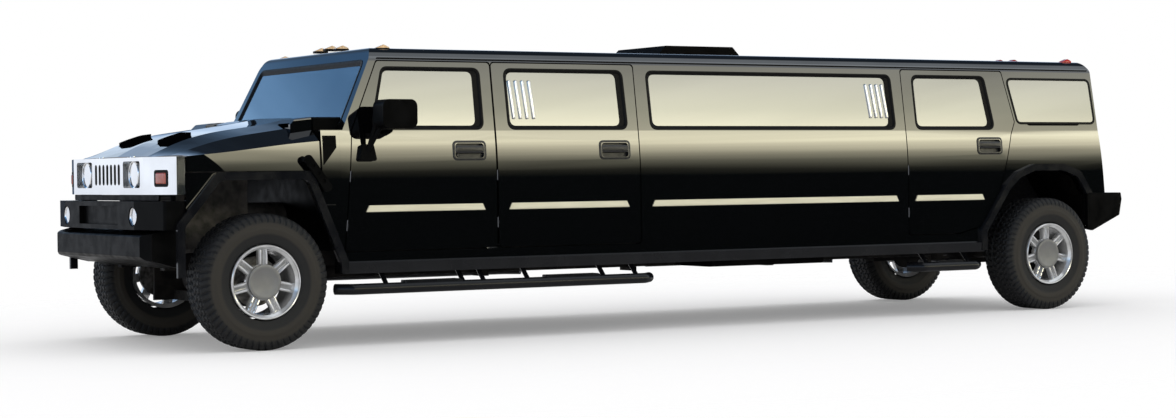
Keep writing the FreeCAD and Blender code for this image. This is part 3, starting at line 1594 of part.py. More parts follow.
def exhaust_system():
    """Pipe and silencer under the frame, turned out to the right ahead of the rear wheel."""
    z = rail_bottom - exhaust_radius - seat_gap
    y = exhaust_offset
    x0 = front_axle_x + engine_length
    x1 = rear_axle_x - wheelbase / 5
    bend = exhaust_radius * 4
    points = [vec(x0, y, z), vec(x1 - bend, y, z), vec(x1, y + bend, z),
              vec(x1, belt_half - flare_width, z)]
    tube = pipe(points, bend, exhaust_radius)
    x = bay_middle(cross_members - 4)
    half = (tail_sill - frame_front_x) / (cross_members - 1) * 0.27
    can = rod(vec(x - half, y, z), vec(x + half, y, z), muffler_radius)
    mouth = rod(vec(x1, belt_half - flare_width - bend, z),
                vec(x1, belt_half, z), exhaust_radius - exhaust_wall)
    return tube.fuse(can).cut(mouth)


def fuel_tank():
    """Fuel tank under the floor, between the left frame rail and the sill."""
    x0 = bay_middle(cross_members - 4) - tank_length / 2
    inner = -rail_offset - rail_half_width - seat_gap
    outer = -body_half_width + wall_thickness + tank_gap
    top = rail_top - tank_gap
    low = top - tank_height
    outline = [(inner, low), (inner, top), (outer, top), (outer, low)]
    return prism_x(outline, [tank_radius, 0, tank_radius, tank_radius], x0, x0 + tank_length)


def drive_shaft():
    """Long shaft to the rear axle, in carrier bearings under the cross members."""
    under = rail_bottom + rail_height * 0.2 - seat_gap
    z = tyre_radius + tank_gap
    x0 = front_axle_x + engine_length
    x1 = rear_axle_x - diff_radius - seat_gap
    shaft = rod(vec(x0, 0, z), vec(x1, 0, z), drive_shaft_radius)
    parts = []
    front = frame_front_x
    run = tail_sill - wall_thickness - front - cross_member_width
    for index in range(2, cross_members - 2):
        x = front + run * index / (cross_members - 1) + cross_member_width / 2
        parts.append(box(x - carrier_width / 2, x + carrier_width / 2, -carrier_half,
                         carrier_half, z - carrier_half, under))
    return shaft.fuse(parts)


def bar_cabinet():
    """Long bar with open shelves along the left of the lounge, on the floor."""
    low = rail_top + floor_thickness + seat_gap
    top = low + bench_depth
    outer = -side_half(top) + wall_thickness + shut_gap
    inner = outer + bench_depth * 0.62
    x0 = mid_panel_front + handle_setback / 2
    x1 = rear_door_front - bench_depth
    outline = [(outer, low), (outer, top), (inner + flare_lap * 2, top),
               (inner + flare_lap * 2, top - flare_lap * 3), (inner, top - flare_lap * 3),
               (inner, low)]
    body = prism_x(outline, 0, x0, x1)
    niches = 5
    pitch = (x1 - x0) / niches
    for index in range(niches):
        start = x0 + pitch * index + flare_lap * 2
        end = x0 + pitch * (index + 1) - flare_lap * 2
        body = body.cut(box(start, end, outer + wall_thickness, inner + overrun,
                            low + bench_depth * 0.25, top - flare_lap * 5))
    return body


def radiator():
    """Radiator core behind the grille."""
    x0 = frame_front_x + seat_gap
    return box(x0, x0 + radiator_thickness, -radiator_width / 2, radiator_width / 2,
               rail_top + seat_gap, rail_top + radiator_height)


def dashboard():
    """Dashboard with the steering column and wheel."""
    x0 = cabin_front + wall_thickness + seat_gap
    half = belt_half - wall_thickness * 2
    body = box(x0, x0 + dash_depth, -half, half, belt - dash_height, belt - wall_thickness)
    centre = vec(x0 + dash_depth * 1.5, -seat_offset, belt - dash_height / 3)
    ring = Part.makeTorus(steering_wheel_radius, steering_rim, vec(0, 0, 0), vec(0, 0, 1))
    spoke = box(-steering_wheel_radius, steering_wheel_radius, -steering_rim, steering_rim,
                -steering_rim / 2, steering_rim / 2)
    column = rod(vec(0, 0, -dash_depth * 0.8), vec(0, 0, steering_rim / 2), steering_rim * 1.6)
    wheel = ring.fuse([spoke, column])
    wheel.rotate(vec(0, 0, 0), vec(0, 1, 0), steering_tilt)
    wheel.translate(centre)
    return body.fuse(wheel)


def seat(x0, y, low):
    """Seat with a cushion and a back, on the floor."""
    base = box(x0, x0 + seat_base_length, y - seat_width / 2, y + seat_width / 2, low,
               low + seat_base_height)
    back = box(x0 + seat_base_length, x0 + seat_base_length + seat_back_thickness,
               y - seat_width / 2, y + seat_width / 2, low,
               low + seat_base_height + seat_back_height)
    return base.fuse(back)


def seats():
    """Front seats, the long bench on the right and the rear bench."""
    low = rail_top + floor_thickness + seat_gap
    x0 = front_axle_x + front_seat_front
    parts = [seat(x0, -seat_offset, low), seat(x0, seat_offset, low)]
    half = body_half_width - wall_thickness - seat_gap
    long_front = front_axle_x + partition_station + bench_depth
    long_rear = rear_door_front - shut_gap
    top = low + bench_height
    bench = box(long_front, long_rear, half - bench_depth, half - flare_lap, low, top)
    outer = side_half(top + bench_back_height) - wall_thickness - shut_gap
    back = box(long_front, long_rear, outer - bench_back_thickness, outer, low,
               top + bench_back_height)
    parts.append(bench.fuse(back))
    return parts


def partition():
    """Wall between the driver's cab and the lounge."""
    x0 = front_axle_x + partition_station
    low = rail_top + floor_thickness + seat_gap
    half = belt_half - wall_thickness * 2
    return box(x0, x0 + partition_thickness, -half, half, low, belt)


os.makedirs("parts", exist_ok=True)
left_glass = {"front": window_pane(front_window), "second": window_pane(second_window),
              "rear": window_pane(rear_window)}
gaps = [shut_gap] * len(rear_door_outline)
front_door = door_panel(front_door_outline, front_window, front_hinge,
                        [shut_gap, shut_gap, shut_gap, pair_gap_front, shut_gap],
                        second_door_front - handle_setback, belt - handle_drop)
second_door = door_panel(second_door_outline, second_window, second_hinge,
                         [pair_gap, shut_gap, shut_gap, shut_gap],
                         mid_panel_front - handle_setback, belt - handle_drop)
rear_door = door_panel(rear_door_outline, rear_window, rear_hinge, gaps,
                       rear_axle_x - rear_door_tail_belt - handle_length - handle_rim * 2,
                       belt - handle_drop + handle_rim)
for name, panel in (("front", front_door), ("second", second_door), ("rear", rear_door)):
    save(name + "_door_left", panel)
    save(name + "_door_right", mirrored(panel))
    save(name + "_door_glass_left", left_glass[name])
    save(name + "_door_glass_right", mirrored(left_glass[name]))
left_panel = side_panel()
save("side_panel_left", left_panel)
save("side_panel_right", mirrored(left_panel))
save("roof_panel", roof_panel())
save("tail_panel", tail_panel())
save("cowl_panel", cowl_panel())
save("windshield", windshield())
save("cabin_side_glass", both_sides(window_pane(mid_window)) + both_sides(quarter_pane()))
save("tailgate", tailgate_panel())
save("tailgate_glass", glass_layer.common(tail_cut(tail_window_outline, seat_gap)).cut(
    box(cabin_front - overrun, rear_axle_x, -body_half_width, body_half_width, 0, roof_z)))
save("hood", hood())
save("hood_latches", both_sides(hood_latches()))
save("side_vents", side_vents())
save("fenders", fender_pair())
save("lower_cladding", lower_cladding())
save("grille_shell", grille_shell())
save("white_lamps", [headlamp(-1), headlamp(1), fog_lamp(-1), fog_lamp(1)])
save("amber_lamps", both_sides(corner_lamp(0)) + front_markers())
save("red_lamps", both_sides(tail_lamp_block(0).common(outer_solid)) + rear_markers())
save("front_bumper", front_bumper())
save("rear_bumper", rear_bumper())
liners = both_sides(wheel_liner(front_axle_x, front_arch, nose_block(
    fender_thickness + seat_gap, nose_front_x, cabin_front, sill_clearance)))
liners += both_sides(wheel_liner(rear_axle_x, rear_arch, section_solid(
    wall_thickness + seat_gap)))
save("wheel_liners", liners)
long_step = side_step(front_axle_x + step_front, front_axle_x + step_rear,
                      long_hanger_shares, long_pad_shares)
short_step = side_step(front_axle_x + rear_step_front, front_axle_x + rear_step_rear,
                       short_hanger_shares, short_pad_shares)
save("side_steps", both_sides(long_step) + both_sides(short_step))
save("roof_hatch", roof_hatch())
save("mirror_left", mirror())
save("mirror_right", mirrored(mirror()))
save("chassis_frame", chassis_frame())
save("floor_pan", floor_pan())
save("front_suspension", front_suspension())
save("rear_axle", rear_axle())
save("engine_block", engine_block())
save("radiator", radiator())
save("exhaust_system", exhaust_system())
save("fuel_tank", fuel_tank())
save("drive_shaft", drive_shaft())
save("bar_cabinet", bar_cabinet())
save("dashboard", dashboard())
save("seats", seats())
save("partition", partition())
save("knuckle_left", knuckle())
save("knuckle_right", mirrored(knuckle()))
for end, axle_x in (("front", front_axle_x), ("rear", rear_axle_x)):
    for side, word in ((-1, "left"), (1, "right")):
        save(end + "_tyre_" + word, tyre(side, axle_x))
        save(end + "_rim_" + word, rim(side, axle_x))
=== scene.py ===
import math
import bpy
import numpy as np
from mathutils import Matrix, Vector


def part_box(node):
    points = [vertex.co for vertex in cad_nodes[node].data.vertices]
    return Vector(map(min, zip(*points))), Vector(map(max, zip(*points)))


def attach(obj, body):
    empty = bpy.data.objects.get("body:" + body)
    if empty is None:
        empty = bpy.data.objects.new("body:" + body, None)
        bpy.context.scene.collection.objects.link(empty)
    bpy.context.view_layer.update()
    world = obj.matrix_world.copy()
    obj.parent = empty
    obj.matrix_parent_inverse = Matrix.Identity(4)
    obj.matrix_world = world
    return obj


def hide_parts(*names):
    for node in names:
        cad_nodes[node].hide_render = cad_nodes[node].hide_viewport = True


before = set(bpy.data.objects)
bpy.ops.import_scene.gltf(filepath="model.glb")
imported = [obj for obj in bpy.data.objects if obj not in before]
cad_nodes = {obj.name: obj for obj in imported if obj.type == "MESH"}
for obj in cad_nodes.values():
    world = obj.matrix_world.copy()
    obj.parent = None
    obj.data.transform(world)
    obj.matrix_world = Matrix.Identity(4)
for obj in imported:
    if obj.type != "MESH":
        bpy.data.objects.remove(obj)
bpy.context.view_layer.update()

# Ladder frame, axles, arms, springs and drive shaft: rolled and pressed steel with a black
# paint that has gone dull and dusty from the road, bolted together under the floor.


def node(tree, kind, inputs, **traits):
    """New shader node: its traits are set, and each input gets a value or another's output."""
    item = tree.nodes.new("ShaderNode" + kind)
    for trait, value in traits.items():
        setattr(item, trait, value)
    for key, value in inputs.items():
        if isinstance(value, bpy.types.NodeSocket):
            tree.links.new(value, item.inputs[key])
        else:
            item.inputs[key].default_value = value
    return item


def arithmetic(tree, operation, first, second):
    """The named sum, product, ratio or comparison of two numbers or outputs."""
    return node(tree, "Math", {0: first, 1: second}, operation=operation).outputs[0]


def drive(material, socket, output):
    """Links an output to a socket of the material's principled shader."""
    tree = material.node_tree
    tree.links.new(output, tree.nodes["Principled BSDF"].inputs[socket])


def finish(name, colour, roughness, metal=0.0, coat=0.0, coat_ior=1.5, clear=0.0, shine=0.5):
    """New material on one principled shader, in plain colour, roughness, metal and clear coat."""
    material = bpy.data.materials.new(name)
    material.use_nodes = True
    sockets = material.node_tree.nodes["Principled BSDF"].inputs
    for key, value in (("Base Color", (*colour, 1)), ("Roughness", roughness),
                       ("Metallic", metal), ("Coat Weight", coat), ("Coat Roughness", 0.012),
                       ("Coat IOR", coat_ior), ("Transmission Weight", clear),
                       ("Specular IOR Level", shine)):
        sockets[key].default_value = value
    return material


def pattern(material, kind, scale, stretch=(1, 1, 1)):
    """Factor output of a noise or cell pattern on Object coordinates, scaled per metre."""
    tree = material.node_tree
    place = node(tree, "TexCoord", {}).outputs["Object"]
    mapping = node(tree, "Mapping", {"Scale": stretch, "Vector": place})
    texture = node(tree, "TexNoise" if kind == "noise" else "TexVoronoi",
                   {"Scale": scale, "Detail": 6.0, "Vector": mapping.outputs["Vector"]})
    return texture.outputs["Fac" if kind == "noise" else "Distance"]


def wander(material, socket, low, high, scale, stretch=(1, 1, 1)):
    """Socket goes from low to high as the noise goes from a third to two thirds."""
    tree = material.node_tree
    value = pattern(material, "noise", scale, stretch)
    third, two_thirds = 0.35, 0.65
    if isinstance(low, tuple):
        ramp = node(tree, "ValToRGB", {"Fac": value})
        for element, position, colour in zip(ramp.color_ramp.elements, (third, two_thirds),
                                             (low, high)):
            element.position = position
            element.color = (*colour, 1)
        drive(material, socket, ramp.outputs["Color"])
    else:
        span = node(tree, "MapRange", {"From Min": third, "From Max": two_thirds, "To Min": low,
                                       "To Max": high, "Value": value})
        drive(material, socket, span.outputs["Result"])


def grain(material, scale, depth, kind="noise", stretch=(1, 1, 1)):
    """Bump of the given depth in metres from a noise or cell pattern."""
    bump = node(material.node_tree, "Bump",
                {"Distance": depth, "Height": pattern(material, kind, scale, stretch)})
    drive(material, "Normal", bump.outputs["Normal"])


def in_box(material, middle, half):
    """1 where the point, with its signs dropped, lies in a box, and 0 elsewhere.

    The distances from the middle are divided by the half sizes, and the largest has to be
    under 1.
    """
    tree = material.node_tree
    output = node(tree, "TexCoord", {}).outputs["Object"]
    for operation, numbers in (("ABSOLUTE", None), ("SUBTRACT", middle), ("ABSOLUTE", None),
                               ("DIVIDE", half)):
        inputs = {0: output, 1: numbers} if numbers else {0: output}
        output = node(tree, "VectorMath", inputs, operation=operation).outputs[0]
    x, y, z = node(tree, "SeparateXYZ", {0: output}).outputs
    largest = arithmetic(tree, "MAXIMUM", arithmetic(tree, "MAXIMUM", x, y), z)
    return arithmetic(tree, "LESS_THAN", largest, 1.0)


def bare_there(material, inside):
    """No clear coat and a dull face where inside is 1."""
    for socket, outside_value, inside_value in (("Coat Weight", 1.0, 0.0),
                                                ("Roughness", 0.06, 0.8)):
        span = node(material.node_tree, "MapRange",
                    {"To Min": outside_value, "To Max": inside_value, "Value": inside})
        drive(material, socket, span.outputs["Result"])


def dress(material, *names):
    """Gives CAD nodes this material in every slot."""
    for name in names:
        for slot in cad_nodes[name].material_slots:
            slot.material = material


frame_black = finish("frame_black", (0.012, 0.012, 0.013), 0.5, shine=0.06)
wander(frame_black, "Base Color", (0.007, 0.007, 0.0075), (0.022, 0.02, 0.018), 9.0)
wander(frame_black, "Roughness", 0.42, 0.75, 22.0)
grain(frame_black, 160.0, 0.0006)
dress(frame_black, "chassis_frame", "front_suspension", "rear_axle", "drive_shaft")

# Engine, gearbox and exhaust: rough grey castings and stained steel pipe, hung on the
# frame, with the finned radiator in front of them.
cast_metal = finish("cast_metal", (0.09, 0.088, 0.085), 0.6, metal=0.6)
wander(cast_metal, "Base Color", (0.05, 0.048, 0.045), (0.13, 0.12, 0.11), 14.0)
wander(cast_metal, "Roughness", 0.4, 0.7, 40.0)
grain(cast_metal, 420.0, 0.0008)
dress(cast_metal, "engine_block", "exhaust_system")
fin_metal = finish("fin_metal", (0.1, 0.1, 0.105), 0.45, metal=0.7)
wander(fin_metal, "Base Color", (0.03, 0.03, 0.032), (0.2, 0.2, 0.21), 1.0,
       stretch=(1, 1, 260))
grain(fin_metal, 1.0, 0.002, stretch=(1, 12, 420))
dress(fin_metal, "radiator")

# Steering knuckles with their brake discs: forged steel, the disc turned bright and
# streaked by the pads.
disc_steel = finish("disc_steel", (0.16, 0.155, 0.15), 0.4, metal=0.9)
wander(disc_steel, "Base Color", (0.09, 0.085, 0.08), (0.3, 0.29, 0.28), 30.0)
wander(disc_steel, "Roughness", 0.3, 0.6, 60.0)
grain(disc_steel, 700.0, 0.0003)
dress(disc_steel, "knuckle_left", "knuckle_right")

# Floor pan, fuel tank and inner wheel wells: pressed sheet and moulded felt under a dull
# black underseal, clipped and bolted up from below.
underseal = finish("underseal", (0.003, 0.003, 0.003), 0.9, shine=0.0)
wander(underseal, "Base Color", (0.0018, 0.0018, 0.0018), (0.0055, 0.0052, 0.005), 7.0)
grain(underseal, 240.0, 0.0015)
dress(underseal, "floor_pan", "wheel_liners", "fuel_tank")

# Body shell, doors, hood, fenders and tailgate: pressed steel under black base paint
# and a deep clear coat, with a faint fleck that only shows close up. The mouths of the hood
# scoops and the insides of the fenders have no clear coat.
black_gloss = finish("black_gloss", (0.001, 0.001, 0.0012), 0.06, coat=1.0, coat_ior=2.05,
                     shine=0.0)
wander(black_gloss, "Base Color", (0.0006, 0.0006, 0.0008), (0.0016, 0.0016, 0.002), 900.0)
body_names = [name for name in cad_nodes
              if name in ("hood", "fenders", "roof_panel", "tail_panel", "tailgate")
              or name.startswith("side_panel")
              or name.endswith(("door_left", "door_right"))]
dress(black_gloss, *body_names)
for name, gloss_name, middle, half in (
        ("hood", "hood_gloss", (3.7075, 0.362, 1.3), (0.087, 0.102, 0.3)),
        ("fenders", "fender_gloss", (3.0, 0.4, 0.8), (3.0, 0.52, 0.8))):
    dull_inside = black_gloss.copy()
    dull_inside.name = gloss_name
    bare_there(dull_inside, in_box(dull_inside, middle, half))
    dress(dull_inside, name)

# Side and rear glass: toughened glass with a dark privacy film inside, so it mirrors the
# sky and hides the cabin; the windshield keeps a clear blue tint.
privacy_glass = finish("privacy_glass", (0.012, 0.013, 0.014), 0.02, coat=1.0, coat_ior=3.2,
                       clear=0.35)
wander(privacy_glass, "Base Color", (0.01, 0.011, 0.012), (0.02, 0.021, 0.022), 2.0)
dress(privacy_glass, *[name for name in cad_nodes if "glass" in name])
blue_glass = finish("blue_glass", (0.05, 0.1, 0.16), 0.02, coat=1.0, coat_ior=2.12, clear=0.5)
wander(blue_glass, "Base Color", (0.04, 0.085, 0.14), (0.06, 0.12, 0.19), 2.0)
dress(blue_glass, "windshield")

# Cladding, bumpers, steps, latches, mirror cases and cowl: moulded black plastic with a
# fine grain, a little greyed by dust along the ledges.
trim_black = finish("trim_black", (0.0022, 0.0023, 0.0025), 0.34, shine=0.03)
wander(trim_black, "Base Color", (0.0014, 0.0015, 0.0017), (0.0034, 0.0035, 0.0036), 6.0)
wander(trim_black, "Roughness", 0.28, 0.44, 12.0)
grain(trim_black, 900.0, 0.0002)
dress(trim_black, "front_bumper", "rear_bumper", "mirror_left", "mirror_right", "roof_hatch",
      "hood_latches", "side_vents", "cowl_panel")
# The cladding and steps carry a faint painted blue sheen in their base colour, bluer than the
# black plastic itself.
cladding_black_blue_sheen = finish("cladding_black_blue_sheen", (0.005, 0.0055, 0.007), 0.2, shine=0.22)
wander(cladding_black_blue_sheen, "Base Color", (0.004, 0.0045, 0.006), (0.007, 0.0075, 0.009), 5.0)
wander(cladding_black_blue_sheen, "Roughness", 0.15, 0.27, 9.0)
dress(cladding_black_blue_sheen, "lower_cladding", "side_steps")

# Grille shell: one die casting with its slots and lamp wells, polished and chromed, with a
# breath of haze, screwed to the front of the body.
chrome = finish("chrome", (0.84, 0.84, 0.84), 0.08, metal=1.0)
wander(chrome, "Roughness", 0.05, 0.16, 5.0)
wander(chrome, "Base Color", (0.8, 0.8, 0.8), (0.87, 0.87, 0.87), 3.0)
dress(chrome, "grille_shell")

# Wheels: light-alloy castings with seven spokes under a bright chrome skin, brake dust in
# their corners, bolted to the hubs.
wheel_chrome = finish("wheel_chrome", (0.66, 0.66, 0.66), 0.08, metal=0.5)
wander(wheel_chrome, "Roughness", 0.05, 0.14, 18.0)
wander(wheel_chrome, "Base Color", (0.55, 0.55, 0.54), (0.76, 0.76, 0.76), 12.0)
dress(wheel_chrome, *[name for name in cad_nodes if "_rim_" in name])

# Lamps: clear, amber and red plastic lenses, moulded with fine flutes inside and clipped
# over their bowls.
clear_lens = finish("clear_lens", (0.8, 0.82, 0.84), 0.06, coat=1.0, clear=0.4)
grain(clear_lens, 1.0, 0.002, stretch=(1, 160, 20))
dress(clear_lens, "white_lamps")
amber_lens = finish("amber_lens", (0.36, 0.07, 0.045), 0.2, coat=1.0)
wander(amber_lens, "Base Color", (0.28, 0.05, 0.03), (0.42, 0.09, 0.05), 1.0,
       stretch=(1, 120, 20))
grain(amber_lens, 1.0, 0.0012, stretch=(1, 160, 160))
dress(amber_lens, "amber_lamps")
red_lens = finish("red_lens", (0.4, 0.01, 0.01), 0.1, coat=1.0)
wander(red_lens, "Base Color", (0.25, 0.006, 0.006), (0.55, 0.02, 0.02), 1.0,
       stretch=(1, 120, 20))
grain(red_lens, 1.0, 0.0015, stretch=(1, 160, 160))
dress(red_lens, "red_lamps")

# Cabin trim: dashboard, partition and bar cabinet in dark plastic, moulded with a fine cell
# grain and screwed to the body inside.
cabin_plastic = finish("cabin_plastic", (0.03, 0.03, 0.032), 0.6)
wander(cabin_plastic, "Base Color", (0.024, 0.024, 0.026), (0.045, 0.045, 0.047), 20.0)
grain(cabin_plastic, 1200.0, 0.0003, kind="cell")
dress(cabin_plastic, "dashboard", "partition", "bar_cabinet")

# Tyres: black rubber moulded over cords, with blocks round the tread, one seated on each
# rim; the sidewall has a lighter brown ring, the shoulder blocks stay blue-black, and the
# grooves are darkened with painted shade.
front_axle = -3.3575
rear_axle = 3.3175
wheel_middle = 0.8815
tyre_radius = 0.44
rubber = finish("rubber", (0.012, 0.012, 0.012), 0.62, shine=0.3)
grain(rubber, 500.0, 0.0004)
# The ramp goes from blue-black to brown along the mesh's value, which the grooves hold low as
# painted shade.
ring_and_groove_shade = node(rubber.node_tree, "Attribute", {}, attribute_name="ring_and_groove_shade")
rubber_ramp = node(rubber.node_tree, "ValToRGB", {"Fac": ring_and_groove_shade.outputs["Fac"]})
rubber_ramp.color_ramp.elements[0].color = (0.005, 0.0055, 0.0065, 1)
rubber_ramp.color_ramp.elements[1].color = (0.03, 0.026, 0.02, 1)
drive(rubber, "Base Color", rubber_ramp.outputs["Color"])
dress(rubber, *[name for name in cad_nodes if "_tyre_" in name])


def build(name, points, faces, material, body="body", ring_and_groove_shades=None):
    """New object on a body, from points and arrays of faces with equal corner counts.

    Faces are smooth, and edges that turn by more than 38 degrees are sharp.
    """
    mesh = bpy.data.meshes.new(name)
    loops = np.concatenate([np.asarray(part, dtype=np.int32).ravel() for part in faces])
    sizes = np.concatenate([np.full(len(part), np.asarray(part).shape[1], dtype=np.int32)
                            for part in faces])
    mesh.vertices.add(len(points))
    mesh.vertices.foreach_set("co", np.asarray(points, dtype=np.float32).ravel())
    mesh.loops.add(len(loops))
    mesh.loops.foreach_set("vertex_index", loops)
    mesh.polygons.add(len(sizes))
    starts = np.concatenate([[0], np.cumsum(sizes)[:-1]]).astype(np.int32)
    mesh.polygons.foreach_set("loop_start", starts)
    mesh.polygons.foreach_set("use_smooth", np.full(len(sizes), True))
    if ring_and_groove_shades is not None:
        layer = mesh.attributes.new("ring_and_groove_shade", "FLOAT", "POINT")
        layer.data.foreach_set("value", np.asarray(ring_and_groove_shades, dtype=np.float32))
    mesh.update(calc_edges=True)
    mesh.validate()
    mesh.set_sharp_from_angle(angle=math.radians(38))
    item = bpy.data.objects.new(name, mesh)
    bpy.context.scene.collection.objects.link(item)
    mesh.materials.append(material)
    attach(item, body)
    return item


def lattice(rows, columns, wrap_columns=True):
    """Quads of a grid of points numbered row by row, closed round its columns if wrapped."""
    row = np.arange(rows - 1)[:, None]
    column = np.arange(columns if wrap_columns else columns - 1)[None, :]
    after = (column + 1) % columns
    here, below = row * columns, (row + 1) * columns
    return np.stack([here + column, here + after, below + after, below + column],
                    axis=-1).reshape(-1, 4)


def join(parts):
    """One set of points and faces from several."""
    points, faces, start = [], [], 0
    for part_points, part_faces in parts:
        points.append(part_points)
        faces += [np.asarray(face) + start for face in part_faces]
        start += len(part_points)
    return np.concatenate(points), faces


def across(part):
    """The same points and faces on the other side of the vehicle."""
    points, faces = part
    return points * (1, -1, 1), [np.asarray(face)[:, ::-1] for face in faces]


def pair(part):
    """A part and its copy on the other side, as one set of points and faces."""
    return join([part, across(part)])


def resample(corners, count):
    """Points at equal steps along a line through corners."""
    corners = np.asarray(corners, dtype=float)
    run = np.concatenate([[0], np.cumsum(np.linalg.norm(np.diff(corners, axis=0), axis=1))])
    at = np.linspace(0, run[-1], count)
    return np.stack([np.interp(at, run, corners[:, k]) for k in range(corners.shape[1])], 1)


def smoothstep(value, low, high):
    """0 up to low, 1 from high, and three squares less two cubes of the share between."""
    share = np.clip((value - low) / (high - low), 0, 1)
    return share * share * (3 - 2 * share)


tyre_rows, tyre_columns = 84, 464
blocks_round, row_width, groove_depth = 58, 0.052, 0.0095


def tyre_surface(axle, side, turn):
    """Round each ring of the profile the radius drops in grooves between blocks.

    Cross grooves repeat round the tyre, once a block, and step by half a block from row to
    row; two ring grooves run round the tread; the shoulder blocks fade out down the sidewall.
    """
    profile = resample([(0.249, -0.136), (0.262, -0.1405), (0.30, -0.147), (0.312, -0.151),
                        (0.345, -0.1535), (0.352, -0.150), (0.362, -0.150), (0.40, -0.1465),
                        (0.424, -0.135), (0.436, -0.122), (0.4395, -0.108), (0.44, 0.0),
                        (0.4395, 0.108), (0.436, 0.122), (0.424, 0.135), (0.40, 0.1465),
                        (0.345, 0.1535), (0.30, 0.147), (0.249, 0.136)], tyre_rows)
    radius, offset = profile[:, 0][:, None], profile[:, 1][:, None]
    angle = np.linspace(0, 2 * np.pi, tyre_columns, endpoint=False)[None, :] + turn
    row = np.floor((offset + 0.16) / row_width)
    phase = angle * blocks_round / (2 * np.pi) + row * 0.5 + 9 * np.abs(offset)
    gap = np.abs(phase - np.floor(phase) - 0.5) * 2
    cross_groove = 1 - smoothstep(gap, 0.22, 0.36)
    ring = np.minimum(np.abs(np.abs(offset) - 0.036), np.abs(np.abs(offset) - 0.092))
    ring_groove = (1 - smoothstep(ring, 0.0035, 0.006)) * (radius > 0.43)
    reach = smoothstep(radius, 0.378, 0.392)
    depth = np.maximum(cross_groove * reach, ring_groove) * groove_depth
    body = radius - depth * smoothstep(radius, 0.37, 0.43)
    width = offset - np.sign(offset) * depth * (1 - smoothstep(radius, 0.41, 0.438)) * 0.5
    x = axle + body * np.cos(angle)
    z = tyre_radius + body * np.sin(angle)
    y = side * wheel_middle + width + 0 * angle
    # A lighter brown ring round the sidewall's bulge, and a value five times lower where the
    # grooves cut deep: painted shade in the grooves.
    brown_ring = smoothstep(radius, 0.30, 0.318) * (1 - smoothstep(radius, 0.372, 0.39))
    ring_and_groove_shades = (0.1 + 0.75 * brown_ring + 0 * angle) * np.where(depth > 0.004, 0.2, 1.0)
    return np.stack([x, y, z], -1).reshape(-1, 3), ring_and_groove_shades.ravel()


tyre_faces = lattice(tyre_rows, tyre_columns)
for end, axle in (("front", front_axle), ("rear", rear_axle)):
    for word, side in (("left", -1), ("right", 1)):
        points, ring_and_groove_shades = tyre_surface(axle, side, 0.3 * side)
        tread = build(f"tread_{end}_{word}", points, [tyre_faces], rubber,
                      f"{end}_wheel_{word}", ring_and_groove_shades=ring_and_groove_shades)
        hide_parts(f"{end}_tyre_{word}")

# Wheel centres: a broad flat satin cap pressed on each hub, two polished ridges along each
# spoke and a rolled bright lip.
satin = finish("satin_silver", (0.2, 0.2, 0.196), 0.5, metal=0.5)
wander(satin, "Roughness", 0.42, 0.56, 30.0)
grain(satin, 900.0, 0.0001)


def tube(path, radius, count):
    """Round bar along a line of points, with flat ends.

    Each ring lies square to the line there, at the radius times a cosine and a sine.
    """
    path = np.asarray(path, dtype=float)
    radius = np.broadcast_to(radius, (len(path),))[:, None, None]
    along = np.gradient(path, axis=0)
    along /= np.linalg.norm(along, axis=1)[:, None]
    guide = np.where(np.abs(along[:, 2:3]) > 0.9, (1.0, 0, 0), (0, 0, 1.0))
    side = np.cross(along, guide)
    side /= np.linalg.norm(side, axis=1)[:, None]
    upper = np.cross(side, along)
    angle = np.linspace(0, 2 * np.pi, count, endpoint=False)[None, :, None]
    ring = side[:, None] * np.cos(angle) + upper[:, None] * np.sin(angle)
    points = (path[:, None] + ring * radius).reshape(-1, 3)
    faces = [lattice(len(path), count), np.arange(count)[None, ::-1],
             np.arange((len(path) - 1) * count, len(path) * count)[None, :]]
    return points, faces


def lathe(profile, centre, axis_side, count=48, closed=True):
    """Profile of (radius, outward) points turned round the wheel's line, capped if closed."""
    profile = np.asarray(profile, dtype=float)
    angle = np.linspace(0, 2 * np.pi, count, endpoint=False)
    x = centre[0] + profile[:, 0][:, None] * np.cos(angle)
    z = centre[2] + profile[:, 0][:, None] * np.sin(angle)
    y = centre[1] + axis_side * profile[:, 1][:, None] + 0 * angle
    rows = len(profile)
    cap = np.arange((rows - 1) * count, rows * count)[None, :]
    faces = [lattice(rows, count)] + ([cap] if closed else [])
    return np.stack([x, y, z], -1).reshape(-1, 3), faces


rim_half = 0.118
lip_overhang = 0.026
spoke_drop = 0.022
cap_face = wheel_middle + rim_half - spoke_drop + 0.026
spoke_face = wheel_middle + rim_half - spoke_drop + 0.001
spokes = 7
for end, axle in (("front", front_axle), ("rear", rear_axle)):
    for word, side in (("left", -1), ("right", 1)):
        centre = (axle, side * cap_face, tyre_radius)
        cap = lathe([(0.112, -0.02), (0.112, 0.001), (0.108, 0.003), (0.09, 0.003),
                     (0.088, 0.0016), (0.02, 0.0016), (0.004, 0.002)], centre, side)
        build(f"wheel_cap_{end}_{word}", *cap, satin, f"{end}_wheel_{word}")
        hub = np.array([[axle, side * spoke_face, tyre_radius]])
        ridges = []
        for step in range(spokes):
            turn = math.radians(90 + step * 360 / spokes)
            out = np.array([[math.cos(turn), 0, math.sin(turn)]])
            aside = np.array([[-math.sin(turn), 0, math.cos(turn)]])
            for shift in (-0.021, 0.021):
                path = hub + out * np.linspace(0.116, 0.226, 14)[:, None] + aside * shift
                path[:, 1] += side * 0.004 * np.sin(np.linspace(0, np.pi, 14))
                ridges.append(tube(path, 0.0075, 8))
        centre = (axle, side * (wheel_middle + rim_half + lip_overhang), tyre_radius)
        ridges.append(lathe([(0.2395, -0.012), (0.2395, 0.002), (0.2355, 0.0065),
                             (0.229, 0.0045), (0.2275, -0.004)], centre, side, 72, False))
        build(f"wheel_ribs_{end}_{word}", *join(ridges), wheel_chrome, f"{end}_wheel_{word}")

